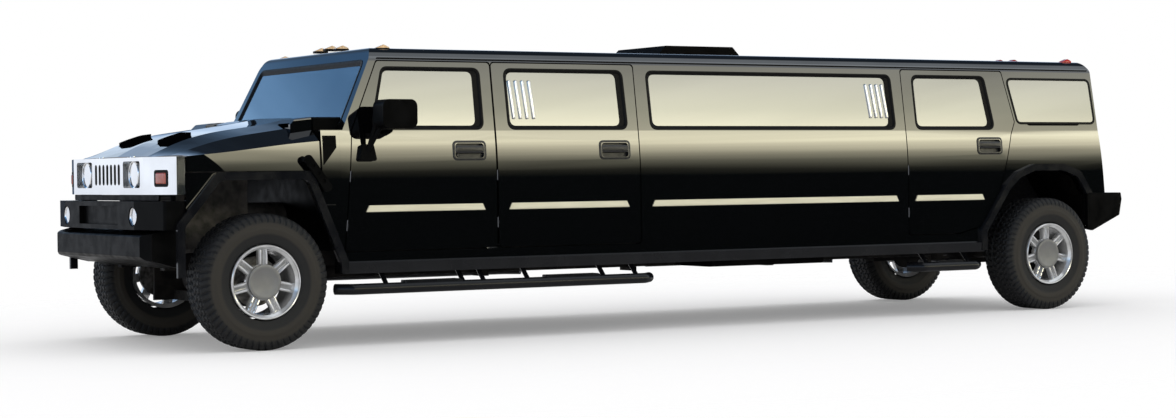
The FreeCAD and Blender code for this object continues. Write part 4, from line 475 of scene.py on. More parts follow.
# Window gaskets: extruded black rubber, pushed over the edge of each opening so that a
# thin lip lies on the paint and another on the glass; the band on the glass widens along
# the rear edge into painted shade of the window's recess.
gasket_rubber = finish("gasket_rubber", (0.005, 0.005, 0.005), 0.42, shine=0.08)
wander(gasket_rubber, "Roughness", 0.36, 0.5, 60.0)


half_width, waist_arc, lean = 1.004, 2.7, 0.1464
arc_low, arc_high, lean_root = 1.0194, 1.4105, 1.216


def wall_half(z):
    """Half width of the body: upright to the waist, then a wide arc, then a straight lean."""
    arc = half_width - waist_arc + np.sqrt(np.maximum(waist_arc ** 2 - (z - arc_low) ** 2, 0))
    straight = half_width - lean * (z - lean_root)
    return np.where(z < arc_low, half_width, np.where(z < arc_high, arc, straight))


def on_wall(flat, height):
    """Points (x, z) of the left wall, lifted off it along its own normal."""
    x, z = flat[..., 0], flat[..., 1]
    slope = (wall_half(z - 0.001) - wall_half(z + 0.001)) / 0.002
    scale = 1 / np.sqrt(1 + slope ** 2)
    return np.stack([x, -wall_half(z) - height * scale, z + height * slope * scale], -1)


def rounded(corners, radius, steps=7):
    """Outline through corners, each turned by a quadratic curve about as round as the radius."""
    corners = np.asarray(corners, dtype=float)
    result = []
    for index in range(len(corners)):
        here = corners[index]
        back = corners[index - 1] - here
        ahead = corners[(index + 1) % len(corners)] - here
        long = min(np.linalg.norm(back), np.linalg.norm(ahead)) * 0.48
        back, ahead = back / np.linalg.norm(back), ahead / np.linalg.norm(ahead)
        half = math.acos(np.clip(back @ ahead, -1, 1)) / 2
        reach = min(radius / math.tan(half), long)
        share = np.linspace(0, 1, steps)[:, None]
        start, end = here + back * reach, here + ahead * reach
        result.append((1 - share) ** 2 * start + 2 * share * (1 - share) * here
                      + share ** 2 * end)
    return np.concatenate(result)


def stack(outline, rings, place, cap=True):
    """Rings of an outline, each moved inward and lifted, then closed by a cap."""
    outline = np.asarray(outline, dtype=float)
    along = np.roll(outline, -1, 0) - np.roll(outline, 1, 0)
    along /= np.linalg.norm(along, axis=1)[:, None] + 1e-9
    inward = np.stack([-along[:, 1], along[:, 0]], 1)
    middle = outline.mean(0)
    if np.sum((middle - outline) * inward) < 0:
        inward = -inward
    points = np.concatenate([place(outline + inward * inset, lift) for inset, lift in rings])
    count = len(outline)
    faces = [lattice(len(rings), count)]
    if cap:
        faces.append(np.arange((len(rings) - 1) * count, len(rings) * count)[None, :])
    return points, faces


def window(front_low, front_high, rear_high, rear_low, low=1.426, high=1.828):
    """Rounded opening with its four corners' places along the body and its two heights."""
    return rounded([(front_low, low), (front_high, high), (rear_high, high), (rear_low, low)],
                   0.05, 10)


front_door, second_door = -2.7235, -1.6435
mid_panel, rear_door = -0.4895, 1.9125
front_glass = window(front_door + 0.1536, front_door + 0.2592, second_door - 0.096,
                     second_door - 0.096)
second_glass = window(second_door + 0.1104, second_door + 0.1056, mid_panel - 0.1056,
                      mid_panel - 0.096)
mid_glass = window(mid_panel + 0.1104, mid_panel + 0.1056, rear_door - 0.1056,
                   rear_door - 0.096)
rear_glass = window(rear_door + 0.1152, rear_door + 0.1152, rear_axle - 0.581,
                    rear_axle - 0.5208)
quarter_glass = window(rear_axle - 0.276, rear_axle - 0.3506, rear_axle + 0.526,
                       rear_axle + 0.544, 1.466, 1.82)
lip = [(-0.011, -0.0005), (-0.010, 0.0028), (-0.006, 0.004), (0.004, 0.003), (0.010, -0.002),
       (0.014, -0.0088)]
flush_lip = [(-0.007, -0.0005), (-0.006, 0.002), (0.0, 0.0028), (0.012, 0.0026),
             (0.013, -0.001)]


def channel_and_recess_shade(outline, front=0.014, rear=0.05, bottom=0.019, top=0.017):
    """Flat black seal on the glass inside an outline, broadest along its rear edge, where it is
    painted shade of the recess the glass sits in.
    """
    low, high = outline.min(0), outline.max(0)
    share = (outline - low) / (high - low)
    inner = outline + np.stack([front * (1 - share[:, 0]) - rear * share[:, 0],
                                bottom * (1 - share[:, 1]) - top * share[:, 1]], 1)
    points = np.concatenate([on_wall(outline, -0.0072), on_wall(inner, -0.0068),
                             on_wall(inner + (high + low - 2 * inner) * 0.002, -0.0088)])
    return points, [lattice(3, len(outline))]


def on_doors(name, door, part, material):
    """The same piece on the left and the right door, the right one mirrored."""
    build(f"{name}_left", *part, material, f"{door}_door_left")
    build(f"{name}_right", *across(part), material, f"{door}_door_right")


for door, outline in (("front", front_glass), ("second", second_glass), ("rear", rear_glass)):
    part = join([stack(outline, lip, on_wall, cap=False), channel_and_recess_shade(outline)])
    on_doors(f"gasket_{door}", door, part, gasket_rubber)
fixed = [stack(mid_glass, lip, on_wall, cap=False), channel_and_recess_shade(mid_glass),
         stack(quarter_glass, flush_lip, on_wall, cap=False)]
build("gaskets_fixed", *pair(join(fixed)), gasket_rubber)

# Side mouldings: champagne-coloured strips of brushed and lacquered metal, glued along each
# door and panel with slanted ends, and a slim black dash on the fender.
moulding = finish("moulding", (0.74, 0.7, 0.5), 0.45)
wander(moulding, "Base Color", (0.7, 0.66, 0.47), (0.8, 0.76, 0.56), 3.0, stretch=(1, 1, 12))
wander(moulding, "Roughness", 0.4, 0.5, 30.0, stretch=(0.1, 1, 1))


def strip(front, rear, low=0.875, high=0.919):
    """Strip between two places behind the front axle, in metres, at a height on the wall."""
    nose = (high - low) * 0.5
    corners = [(front_axle + front, low), (front_axle + front + nose, high),
               (front_axle + rear - nose, high), (front_axle + rear, low)]
    return stack(rounded(corners, 0.004, 4), [(0, -0.001), (0, 0.007), (0.0012, 0.0092),
                                              (0.0032, 0.01)], on_wall)


for door, front, rear in (("front", 0.723, 1.613), ("second", 1.799, 2.765),
                          ("rear", 5.337, 6.02)):
    on_doors(f"moulding_{door}", door, strip(front, rear), moulding)
build("mouldings_fixed", *pair(strip(2.958, 5.173)), moulding)
build("fender_dashes", *pair(strip(0.405, 0.505, 0.922, 0.932)), gasket_rubber)

# Door handles: black moulded bezel and cup pushed into the pressed recess of each door, a
# grip bar across it and a round lock below the grip of the front door.
handle_plastic = finish("handle_plastic", (0.009, 0.009, 0.009), 0.34)
wander(handle_plastic, "Roughness", 0.28, 0.42, 40.0)
grain(handle_plastic, 1400.0, 0.0001)


def block_up(x0, x1, z0, z1, radius, steps=7):
    """Rounded rectangle between two pairs of places, its points starting up the first edge."""
    return rounded([(x0, z0), (x0, z1), (x1, z1), (x1, z0)], radius, steps)


def handle(x, z, lock):
    """Bezel, cup and bar as one skin over the pressed recess, round its middle."""
    half_long, half_high, bar_half = 0.125, 0.065, 0.108
    box = block_up(x - half_long, x + half_long, z - half_high, z + half_high, 0.034)
    bar = block_up(x - bar_half, x + bar_half, z - 0.0135, z + 0.0315, 0.014)
    parts = [stack(box, [(-0.002, -0.0005), (-0.0018, 0.0045), (0.003, 0.0068),
                         (0.0125, 0.0064), (0.0172, 0.002), (0.018, -0.0232)], on_wall),
             stack(bar, [(-0.0015, -0.0125), (-0.0015, 0.003), (0.003, 0.0062),
                         (0.012, 0.0072)], on_wall)]
    if lock:
        ring = block_up(x - 0.098, x - 0.072, z - 0.044, z - 0.018, 0.013)
        parts.append(stack(ring, [(0, -0.023), (0, -0.004), (0.002, -0.002), (0.006, -0.002),
                                  (0.007, -0.004)], on_wall))
    return join(parts)


for door, x, z in (("front", second_door - 0.21, 1.276), ("second", mid_panel - 0.21, 1.276),
                   ("rear", rear_axle - 0.582, 1.292)):
    on_doors(f"handle_{door}", door, handle(x, z, door == "front"), handle_plastic)

# Window bars: four slim bars of polished metal, glued upright on the glass of the second
# door and again near the rear of the long window.
bright = finish("bright_bars", (0.8, 0.79, 0.76), 0.12, metal=1.0)
wander(bright, "Roughness", 0.08, 0.2, 20.0)


def rail(low_x, high_x, low, high):
    """Slim bar between two heights on the glass, its section a flat oval."""
    half = 0.011
    corners = [(low_x - half, low), (high_x - half, high), (high_x + half, high),
               (low_x + half, low)]
    return stack(rounded(corners, 0.01, 5), [(0, -0.0088), (0, -0.001), (0.0025, 0.003),
                                             (0.006, 0.005), (0.0095, 0.0054)], on_wall)


def rails(foot, head, low, high):
    """Four bars at equal steps, the first and last foot and head behind the front axle."""
    return join([rail(front_axle + foot[0] + (foot[1] - foot[0]) * share,
                      front_axle + head[0] + (head[1] - head[0]) * share, low, high)
                 for share in np.linspace(0, 1, 4)])


on_doors("bars_second", "second", rails((1.87, 2.028), (1.85, 2.008), 1.491, 1.757), bright)
build("bars_long", *pair(rails((4.958, 5.111), (4.932, 5.085), 1.506, 1.763)), bright)

# Roof drip rail: the folded seam between roof and side along each roof edge, spot welded
# and filled with black sealer.
seam_height, seam_width = 1.8965, 0.007
seam = np.stack([np.linspace(front_axle + 0.86, rear_axle + 0.52, 60),
                 np.full(60, seam_height)], 1)
seam_line = np.concatenate([seam, seam[::-1] - (0, seam_width)])
part = stack(seam_line, [(0, -0.001), (0, 0.0035), (0.002, 0.0045)], on_wall)
build("drip_rails", *pair(part), gasket_rubber)

# Windshield: a raked laminated pane bonded into its frame, with a black rubber surround
# that laps over its edge.
screen_foot_x, screen_foot_z = front_axle + 0.572, 1.414
rake = 0.231 / 0.478
rake_scale = 1 / math.hypot(1, rake)


def on_screen(flat, height):
    """Points (y, z) of the windshield, lifted off it forward and up."""
    y, z = flat[..., 0], flat[..., 1]
    x = screen_foot_x + (z - screen_foot_z) * rake
    return np.stack([x - height * rake_scale, y, z + height * rake * rake_scale], -1)


screen = rounded([(-0.888, 1.441), (0.888, 1.441), (0.8385, 1.876), (-0.8385, 1.876)], 0.05, 10)
build("windshield_surround", *stack(screen, [(-0.009, -0.001), (-0.008, 0.003), (0.002, 0.0035),
                                             (0.012, -0.002), (0.03, -0.0085)], on_screen,
                                    cap=False), gasket_rubber)

# Wipers: two pressed steel arms painted black, with sprung rubber blades, parked along the
# foot of the windshield and bolted to their spindles.


def wiper(pivot, tip, heel):
    """Blade along the glass, arm from its pivot to the blade's middle, and round spindle.

    The arm arches off the glass by a half sine wave.
    """
    middle = (np.array(tip) + heel) / 2
    blade = np.linspace(tip, heel, 24)
    arm = np.linspace(pivot, middle, 12)
    lift = np.sin(np.linspace(0, np.pi, 12)) * 0.012 + 0.018
    spindle = np.array([pivot, pivot + np.array([0, 0.001])])
    return [tube(on_screen(blade, 0.008), 0.007, 8),
            tube(on_screen(arm, lift), np.linspace(0.011, 0.006, 12), 8),
            tube(on_screen(spindle, 0.012), 0.018, 12)]


blades = wiper(np.array([-0.3, 1.448]), (-0.86, 1.478), (-0.26, 1.47))
blades += wiper(np.array([0.5, 1.448]), (-0.1, 1.478), (0.5, 1.47))
build("wipers", *join(blades), trim_black)

# Step pads: ribbed rubber treads, moulded in lengths and screwed to the tops of the steps
# under each door.
tread_rubber = finish("step_rubber", (0.012, 0.012, 0.012), 0.6)
wander(tread_rubber, "Roughness", 0.5, 0.7, 30.0)
grain(tread_rubber, 700.0, 0.0003)
step_top, step_inner, step_outer = 0.415, -0.924, -1.02
rib_width, rib_pitch = 0.007, 0.016


def lying_plate(outline, rings, z=0.0):
    """Rings of an outline (x, y) on a level plane, lifts upward."""
    return stack(outline, rings, lambda flat, lift: np.stack([
        flat[..., 0], flat[..., 1], 0 * flat[..., 0] + z + lift], -1))


def pad(front, rear):
    """Ribs at one pitch along a pad between two places behind the front axle."""
    count = int((rear - front) / rib_pitch)
    ribs = []
    for x in front_axle + np.linspace(front + 0.03, rear - 0.03, count):
        rib = block_up(x, x + rib_width, step_outer, step_inner, 0.003, 3)
        ribs.append(lying_plate(rib, [(0, 0), (0, 0.0035), (0.0015, 0.0045)], step_top))
    return ribs


ribs = pad(0.982, 1.434) + pad(2.07, 2.523) + pad(5.527, 5.803)
build("step_pads", *pair(join(ribs)), tread_rubber)

# Head and fog lamps: a plated ring of pressed metal round each round lens, clipped into its
# well in the bright shell or the bumper.


def facing(y, z, front_x, profile):
    """Profile of (radius, forward) points turned round a line along the vehicle."""
    profile = np.asarray(profile, dtype=float)
    rows, count = len(profile), 48
    angle = np.linspace(0, 2 * np.pi, count, endpoint=False)
    py = y + profile[:, 0][:, None] * np.cos(angle)
    pz = z + profile[:, 0][:, None] * np.sin(angle)
    px = front_x - profile[:, 1][:, None] + 0 * angle
    cap = np.arange((rows - 1) * count, rows * count)[None, ::-1]
    return np.stack([px, py, pz], -1).reshape(-1, 3), [lattice(rows, count)[:, ::-1], cap]


grille_x = front_axle - 0.68
head_lamp_x, head_lamp_y, head_lamp_z = grille_x + 0.064 / 3, 0.45, 1.1376
fog_lamp_x, fog_lamp_y, fog_lamp_z = front_axle - 0.76 + 0.026, 0.634, 0.8688
lamps = []
for side in (-1, 1):
    lamps.append(facing(side * head_lamp_y, head_lamp_z, head_lamp_x, [
        (0.09, -0.03), (0.09, 0.004), (0.086, 0.009), (0.081, 0.006), (0.08, 0.0005)]))
    lamps.append(facing(side * fog_lamp_y, fog_lamp_z, fog_lamp_x, [
        (0.0615, -0.01), (0.0615, 0.004), (0.057, 0.007), (0.053, 0.003), (0.052, 0.0005)]))
build("lamp_rings", *join(lamps), chrome)

# Grille mesh: dark sheet punched with cells, held in a frame behind the middle slots of the
# bright shell.
mesh_black = finish("mesh_black", (0.012, 0.012, 0.013), 0.5)
grain(mesh_black, 90.0, 0.004, kind="cell")


def block(y0, y1, z0, z1, radius, steps=7):
    """Rounded rectangle between two pairs of places, its points starting along the first edge."""
    return rounded([(y0, z0), (y1, z0), (y1, z1), (y0, z1)], radius, steps)


def facing_plate(outline, rings, x):
    """Rings of an outline (y, z) on a plane across the vehicle, lifts toward the tail."""
    return stack(outline, rings, lambda flat, lift: np.stack([
        0 * flat[..., 0] + x + lift, flat[..., 0], flat[..., 1]], -1))


build("grille_mesh", *facing_plate(block(-0.285, 0.285, 1.05, 1.225, 0.01, 3),
                                   [(0, 0), (0, -0.003), (0.002, -0.004)],
                                   front_axle - 0.615), mesh_black)

# Mirrors: a plated glass, silvered at its back, held in a black bezel on the rear of each
# moulded case.
mirror_glass = finish("mirror_glass", (0.9, 0.9, 0.92), 0.02, metal=1.0)
wander(mirror_glass, "Roughness", 0.01, 0.05, 9.0)
mirror_back = front_axle + 0.996
bezel = facing_plate(block_up(-1.216, -1.084, 1.438, 1.592, 0.024),
                     [(0, -0.03), (0, 0.002), (0.004, 0.005), (0.009, 0.0035),
                      (0.01, 0.0005)], mirror_back)
plated = facing_plate(block_up(-1.206, -1.094, 1.448, 1.582, 0.016),
                      [(0, 0), (0, 0.0022), (0.003, 0.003)], mirror_back)
for word, case, pane in (("left", bezel, plated), ("right", across(bezel), across(plated))):
    build(f"mirror_trim_{word}", *case, trim_black, f"front_door_{word}")
    build(f"mirror_glass_{word}", *pane, mirror_glass, f"front_door_{word}")

# Amber lamps: a fluted lens in a dark square bezel, snapped onto each swept corner of the
# grille, and five clear-amber markers on dark pads, screwed along the front of the roof.
corner_inner, corner_share = 0.668, 0.55
corner_run, corner_spread = 0.095, 0.976 + 0.01 - corner_inner
corner_long = math.hypot(corner_run, corner_spread)


def on_corner(flat, height):
    """Points (along, z) of the left swept corner, lifted forward off it."""
    along, z = flat[..., 0], flat[..., 1]
    x = grille_x + corner_run * corner_share + along * corner_run / corner_long
    y = -corner_inner - corner_spread * corner_share - along * corner_spread / corner_long
    return np.stack([x - height * corner_spread / corner_long,
                     y - height * corner_run / corner_long, z], -1)


def standing_plate(outline, rings, y):
    """Rings of an outline (x, z) on a plane along the vehicle, lifts toward the left."""
    return stack(outline, rings, lambda flat, lift: np.stack([
        flat[..., 0], 0 * flat[..., 0] + y - lift, flat[..., 1]], -1))


corner_z = 1.008 + 0.24 * 0.43
edge = stack(block_up(-0.064, 0.064, corner_z - 0.048, corner_z + 0.048, 0.012),
             [(-0.006, -0.008), (-0.006, 0.002), (-0.003, 0.0045), (0.012, 0.0035),
              (0.013, 0.001)], on_corner, cap=False)
lens = stack(block_up(-0.0515, 0.0515, corner_z - 0.0355, corner_z + 0.0355, 0.014),
             [(0, -0.014), (0, 0.004), (0.004, 0.008), (0.008, 0.0095)], on_corner)
build("corner_bezels", *pair(edge), gasket_rubber)
corner_lenses = build("corner_lenses", *pair(lens), amber_lens)
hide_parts("amber_lamps")
marker_lens = finish("marker_lens", (0.8, 0.5, 0.22), 0.15, coat=1.0)
wander(marker_lens, "Base Color", (0.72, 0.42, 0.16), (0.88, 0.62, 0.34), 1.0,
       stretch=(120, 1, 20))
grain(marker_lens, 1.0, 0.001, stretch=(160, 1, 160))
roof_top, roof_fall, roof_half = 1.998, 0.036, 0.842
marker_long, marker_half = 0.092, 0.023
marker_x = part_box("amber_lamps")[1][0] - marker_long
marker_end = marker_x + marker_long
markers, pads = [], []
for y in (-0.8, -0.17, 0.0, 0.17, 0.8):
    roof = roof_top - roof_fall * (abs(y) + marker_half) / roof_half
    side_view = rounded([(marker_x, roof - 0.008), (marker_x, roof + 0.005),
                         (marker_x + 0.052, roof + 0.026), (marker_end, roof + 0.0104),
                         (marker_end, roof - 0.008)], 0.009, 6)
    markers.append(standing_plate(side_view, [(0.008, -marker_half), (0.002, -0.021),
                                              (0, -0.017), (0, 0.017), (0.002, 0.021),
                                              (0.008, marker_half)], y))
    flat_pad = block(marker_x - 0.004, marker_x + 0.096, y - 0.027, y + 0.027, 0.012)
    pads.append(lying_plate(flat_pad, [(0, roof - 0.012), (0, roof + 0.001),
                                       (0.003, roof + 0.003)]))
build("roof_markers", *join(markers), marker_lens)
build("marker_pads", *join(pads), gasket_rubber)

# Nose filler: black moulded panel under the bright shell, clipped between the lamps' back
# and the bumper beam.
build("nose_filler", *facing_plate(block(-0.8, 0.8, 0.9685, 1.006, 0.008, 4),
                                   [(0, 0.012), (0, 0.002), (0.002, 0)],
                                   front_axle - 0.6295), trim_black)

# Tailgate trim: rubber round its window, a parked wiper, a grip bar over a pocket with a
# blank plate screwed in it, and a slim red lamp above the glass.
tail_leans = (0.888, 1.414, 1.892), (3.9325, 3.8855, 3.8675)


def on_tail(flat, height):
    """Points (y, z) of the tail, lifted straight back off its two leaning planes."""
    y, z = flat[..., 0], flat[..., 1]
    return np.stack([np.interp(z, *tail_leans) + height, y, z + 0 * height], -1)


tail_glass = block(-0.689, 0.689, 1.45, 1.828, 0.05)
arm = np.array([(-0.02, 1.4), (-0.1, 1.424), (-0.2, 1.45), (-0.3, 1.468), (-0.36, 1.473)])
blade = np.stack([np.linspace(-0.6, -0.1, 24), np.full(24, 1.474)], 1)
grip = np.stack([np.linspace(-0.19, 0.19, 24), np.full(24, 1.262)], 1)
frame_lines = [(0, -0.002), (0, 0.014), (0.006, 0.02), (0.016, 0.02), (0.022, 0.006)]
build("tailgate_trim", *join([
    stack(tail_glass, lip, on_tail, cap=False),
    tube(on_tail(arm, 0.012), 0.0065, 8), tube(on_tail(blade, 0.0035), 0.0045, 8),
    stack(block(-0.03, 0.025, 1.375, 1.415, 0.016),
          [(0, -0.002), (0, 0.014), (0.006, 0.019), (0.012, 0.02)], on_tail),
    tube(on_tail(grip, 0.026 * np.sin(np.linspace(0.25, np.pi - 0.25, 24)) ** 0.5), 0.011, 12),
    stack(block(-0.205, 0.205, 1.05, 1.24, 0.018), frame_lines, on_tail),
]), trim_black, "tailgate")
plate_paint = finish("plate_paint", (0.62, 0.63, 0.64), 0.35)
grain(plate_paint, 300.0, 0.0002)
wander(plate_paint, "Base Color", (0.58, 0.59, 0.6), (0.66, 0.67, 0.68), 8.0)
build("blank_plate", *stack(block(-0.152, 0.152, 1.069, 1.221, 0.012),
                            [(0, 0.0065), (0, 0.009), (0.001, 0.01), (0.006, 0.01),
                             (0.0075, 0.0088)], on_tail), plate_paint, "tailgate")
high_lamp = build("high_lamp", *stack(block(-0.16, 0.16, 1.844, 1.864, 0.006),
                                      [(0, -0.002), (0, 0.004), (0.0025, 0.007)], on_tail),
                  red_lens, "tailgate")

# Tail lamp trim: a dark bezel round each red lens, two bars across it and a clear lens for
# reversing in its lowest field.
bezels, clears = [], []
for y0, y1 in ((0.8118, 0.9434), (-0.9434, -0.8118)):
    bezels.append(stack(block(y0, y1, 1.014, 1.368, 0.012),
                        [(-0.007, -0.002), (-0.006, 0.004), (-0.002, 0.0065), (0.004, 0.005),
                         (0.0045, 0)], on_tail, cap=False))
    for z in (1.128, 1.245):
        bezels.append(stack(block(y0 + 0.002, y1 - 0.002, z, z + 0.008, 0.002),
                            [(0, -0.001), (0, 0.003), (0.002, 0.0045)], on_tail))
    clears.append(stack(block(y0 + 0.008, y1 - 0.008, 1.024, 1.122, 0.01),
                        [(0, -0.001), (0, 0.0025), (0.004, 0.0045), (0.008, 0.005)], on_tail))
build("tail_bezels", *join(bezels), trim_black)
build("reverse_lenses", *join(clears), clear_lens)

# Dashboard fittings: a hooded pair of dials, slatted air vents, a glove box lid and a centre
# panel with a dark screen and three turned knobs, all clipped to the dashboard's face.
dash_face = -2.4217
dial_places, dial_height = (-0.525, -0.335), 1.252
knob_places, knob_height = (-0.09, 0.0, 0.09), 1.145
vent_places, vent_half = (-0.76, -0.185, 0.185, 0.76), 0.045
slat_heights, slat_high = np.linspace(1.283, 1.323, 5), 0.005


def disc(y, z, radius, rings):
    """Round plate on the dashboard's face, its rings moved inward and lifted."""
    turn = np.linspace(0, 2 * np.pi, 33)[:-1]
    return facing_plate(np.stack([y + radius * np.cos(turn), z + radius * np.sin(turn)], 1),
                        rings, dash_face)


hood = [(0, -0.002), (0, 0.022), (0.006, 0.028), (0.012, 0.026), (0.02, 0.006)]
slat = [(0, -0.002), (0, 0.012), (0.001, 0.014)]
fittings = [facing_plate(block(-0.64, -0.22, 1.17, 1.335, 0.03), hood, dash_face),
            facing_plate(block(-0.15, 0.15, 1.11, 1.33, 0.02),
                         [(0, -0.002), (0, 0.008), (0.004, 0.012)], dash_face),
            facing_plate(block(0.24, 0.76, 1.13, 1.26, 0.02),
                         [(0, -0.002), (0, 0.005), (0.004, 0.008)], dash_face)]
for y in vent_places:
    for z in slat_heights:
        outline = block(y - vent_half, y + vent_half, z, z + slat_high, 0.002)
        fittings.append(facing_plate(outline, slat, dash_face))
build("dash_fittings", *join(fittings), cabin_plastic)
rings = [disc(y, dial_height, 0.06, [(0, 0.004), (0, 0.015), (0.003, 0.017), (0.006, 0.014)])
         for y in dial_places]
rings += [disc(y, knob_height, 0.018, [(0, 0.01), (0.001, 0.028), (0.004, 0.031)])
          for y in knob_places]
build("dash_rings", *join(rings), bright)
dark_face = finish("dark_face", (0.01, 0.011, 0.012), 0.12, coat=1.0)
wander(dark_face, "Base Color", (0.008, 0.009, 0.01), (0.014, 0.015, 0.016), 4.0)
screens = [facing_plate(block(-0.11, 0.11, 1.19, 1.31, 0.008),
                        [(0, 0.01), (0, 0.013), (0.002, 0.0145)], dash_face)]
screens += [disc(y, dial_height, 0.053, [(0, 0.01), (0, 0.0145), (0.002, 0.0155)])
            for y in dial_places]
build("dash_screens", *join(screens), dark_face)

# Door cards: dark moulded boards on the doors' inner skins, each with a stuffed leather
# armrest below the window.
leather = finish("leather", (0.02, 0.018, 0.017), 0.42)
wander(leather, "Base Color", (0.014, 0.013, 0.012), (0.035, 0.031, 0.028), 10.0)
grain(leather, 650.0, 0.0006, kind="cell")

card_low, card_high = 0.72, 1.37
rest_low, rest_high, rest_inset = 1.06, 1.13, 0.08
for door, front, left_rear, right_rear in (("front_door", -2.6, -1.72, -1.72),
                                           ("second_door", -1.56, -0.57, -1.04),
                                           ("rear_door", 2.0, 2.5, 2.5)):
    for word, rear in (("left", left_rear), ("right", right_rear)):
        board = block_up(front, rear, card_low, card_high, 0.05)
        rest = block_up(front + rest_inset, rear - rest_inset, rest_low, rest_high, 0.03)
        card = stack(board, [(0, -0.0595), (0, -0.064), (0.006, -0.067)], on_wall)
        arm_rest = stack(rest, [(0, -0.066), (0, -0.085), (0.006, -0.094), (0.016, -0.098),
                                (0.028, -0.099)], on_wall)
        if word == "right":
            card, arm_rest = across(card), across(arm_rest)
        build(f"{door}_card_{word}", *card, cabin_plastic, f"{door}_{word}")
        build(f"{door}_armrest_{word}", *arm_rest, leather, f"{door}_{word}")

# Tailgate seals: soft black bulb strips of foam rubber, pushed over the flange inside the top
# and bottom of the tail opening.
bulb = [(0, -0.01), (0, 0), (0.004, 0.004)]
build("tail_seals", *join([
    facing_plate(block(-0.74, 0.74, 1.846, 1.925, 0.01), bulb, 3.785),
    facing_plate(block(-0.755, 0.755, 0.86, 0.957, 0.01), bulb, 3.848)]), gasket_rubber)

# Rear wheel houses: pressed steel covers under black felt that close the cabin over each
# rear wheel, welded to the floor pan.
felt = finish("felt", (0.01, 0.01, 0.011), 0.95, shine=0.1)
wander(felt, "Base Color", (0.007, 0.007, 0.008), (0.016, 0.016, 0.017), 60.0)
grain(felt, 900.0, 0.0012)
house = rounded([(rear_axle + x, z) for x, z in (
    (-0.714, 0.6475), (-0.455, 1.0), (-0.335, 1.1), (-0.165, 1.16), (0.165, 1.16),
    (0.335, 1.1), (0.476, 0.905), (0.488, 0.6475))], 0.02)
part = standing_plate(house, [(0, 0.5), (0, 0.01), (0.006, 0.002), (0.016, 0)], -0.42)
build("wheel_houses", *pair(part), felt)

# Headliner: grey felt board pushed up under the roof, from the windshield's header to the
# tailgate.
lining = finish("lining", (0.09, 0.09, 0.095), 0.95, shine=0.1)
wander(lining, "Base Color", (0.075, 0.075, 0.08), (0.11, 0.11, 0.115), 40.0)
grain(lining, 900.0, 0.0008)
build("headliner", *lying_plate(block(-2.3, 3.75, -0.76, 0.76, 0.05),
                                [(0, 1.903), (0, 1.895), (0.006, 1.89)]), lining)

# Seats: foam cushions and backs in stitched black leather, the driver's and passenger's
# seats on their frames and the long bench in panels along the right wall.
dress(leather, "seats")


def cushion(low, high, crown, flutes=0):
    """Stuffed block: a rounded cube whose faces swell toward their middles.

    Each point of a cube grid is drawn toward a superellipsoid, then pushed out where no
    seam pulls it in; flutes are sewn channels across the longer of its broad sides.
    """
    low, high = np.array(low, dtype=float), np.array(high, dtype=float)
    lines, power = 25, 6.0
    grid = np.linspace(-1, 1, lines)
    a, b = np.meshgrid(grid, grid, indexing="ij")
    sheets, faces, start = [], [], 0
    for axis in range(3):
        for sign in (-1, 1):
            sheet = np.zeros((lines, lines, 3))
            sheet[..., axis] = sign
            sheet[..., (axis + 1) % 3] = a
            sheet[..., (axis + 2) % 3] = b
            sheets.append(sheet.reshape(-1, 3))
            quads = lattice(lines, lines, wrap_columns=False) + start
            faces.append(quads if sign > 0 else quads[:, ::-1])
            start += lines * lines
    cube = np.concatenate(sheets)
    size = (high - low) / 2
    length = (np.sum(np.abs(cube) ** power, axis=1) ** (1 / power))[:, None]
    ball = cube / length
    swell = np.prod(np.cos(ball * np.pi / 2 * 0.92) + 0.25, axis=1)
    flat_axis = int(np.argmin(size))
    long_axis = int(np.argmax(size))
    push = crown * swell * np.sign(ball[:, flat_axis]) * np.abs(ball[:, flat_axis])
    if flutes:
        groove = np.abs(np.sin(ball[:, long_axis] * np.pi * flutes / 2)) ** 0.35
        push = push - 0.012 * (1 - groove) * np.sign(ball[:, flat_axis])
    inner = np.ones(3)
    inner[flat_axis] = 1 - crown * 0.6 / size[flat_axis]
    points = ball * size * inner
    points[:, flat_axis] += push
    return points + (low + high) / 2, faces


floor_z = 0.6463
seat_x, seat_y = front_axle + 1.13, 0.43
bench_front, bench_rear = front_axle + 2.375, rear_door - 0.008
soft_parts, bases = [], []
for y in (-seat_y, seat_y):
    for start, end, half, foot, head, crown, flutes in (
            (0, 0.53, 0.27, 0.14, 0.33, 0.03, 5), (0.52, 0.67, 0.27, 0.3, 0.76, 0.03, 5),
            (0.54, 0.65, 0.13, 0.77, 0.95, 0.02, 0)):
        soft_parts.append(cushion((seat_x + start, y - half, floor_z + foot),
                                  (seat_x + end, y + half, floor_z + head), crown, flutes))
    plan = block(seat_x + 0.04, seat_x + 0.6, y - 0.24, y + 0.24, 0.03)
    bases.append(lying_plate(plan, [(0, floor_z), (0, floor_z + 0.05),
                                    (0.03, floor_z + 0.15)]))
edges = np.linspace(bench_front, bench_rear, 7)
for start, end in zip(edges[:-1] + 0.003, edges[1:] - 0.003):
    soft_parts.append(cushion((start, 0.3875, floor_z + 0.2), (end, 0.83, floor_z + 0.42),
                              0.03, 4))
    soft_parts.append(cushion((start, 0.775, floor_z + 0.4), (end, 0.885, floor_z + 0.84),
                              0.02, 4))
bases.append(lying_plate(block(bench_front, bench_rear, 0.41, 0.93, 0.02),
                         [(0, floor_z), (0, floor_z + 0.21), (0.02, floor_z + 0.23)]))
bases.append(lying_plate(block(bench_front, bench_rear, 0.86, 0.885, 0.004),
                         [(0, floor_z + 0.2), (0, floor_z + 0.82), (0.004, floor_z + 0.83)]))
cushions = build("seat_cushions", *join(soft_parts), leather)
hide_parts("seats")
build("seat_bases", *join(bases), cabin_plastic)

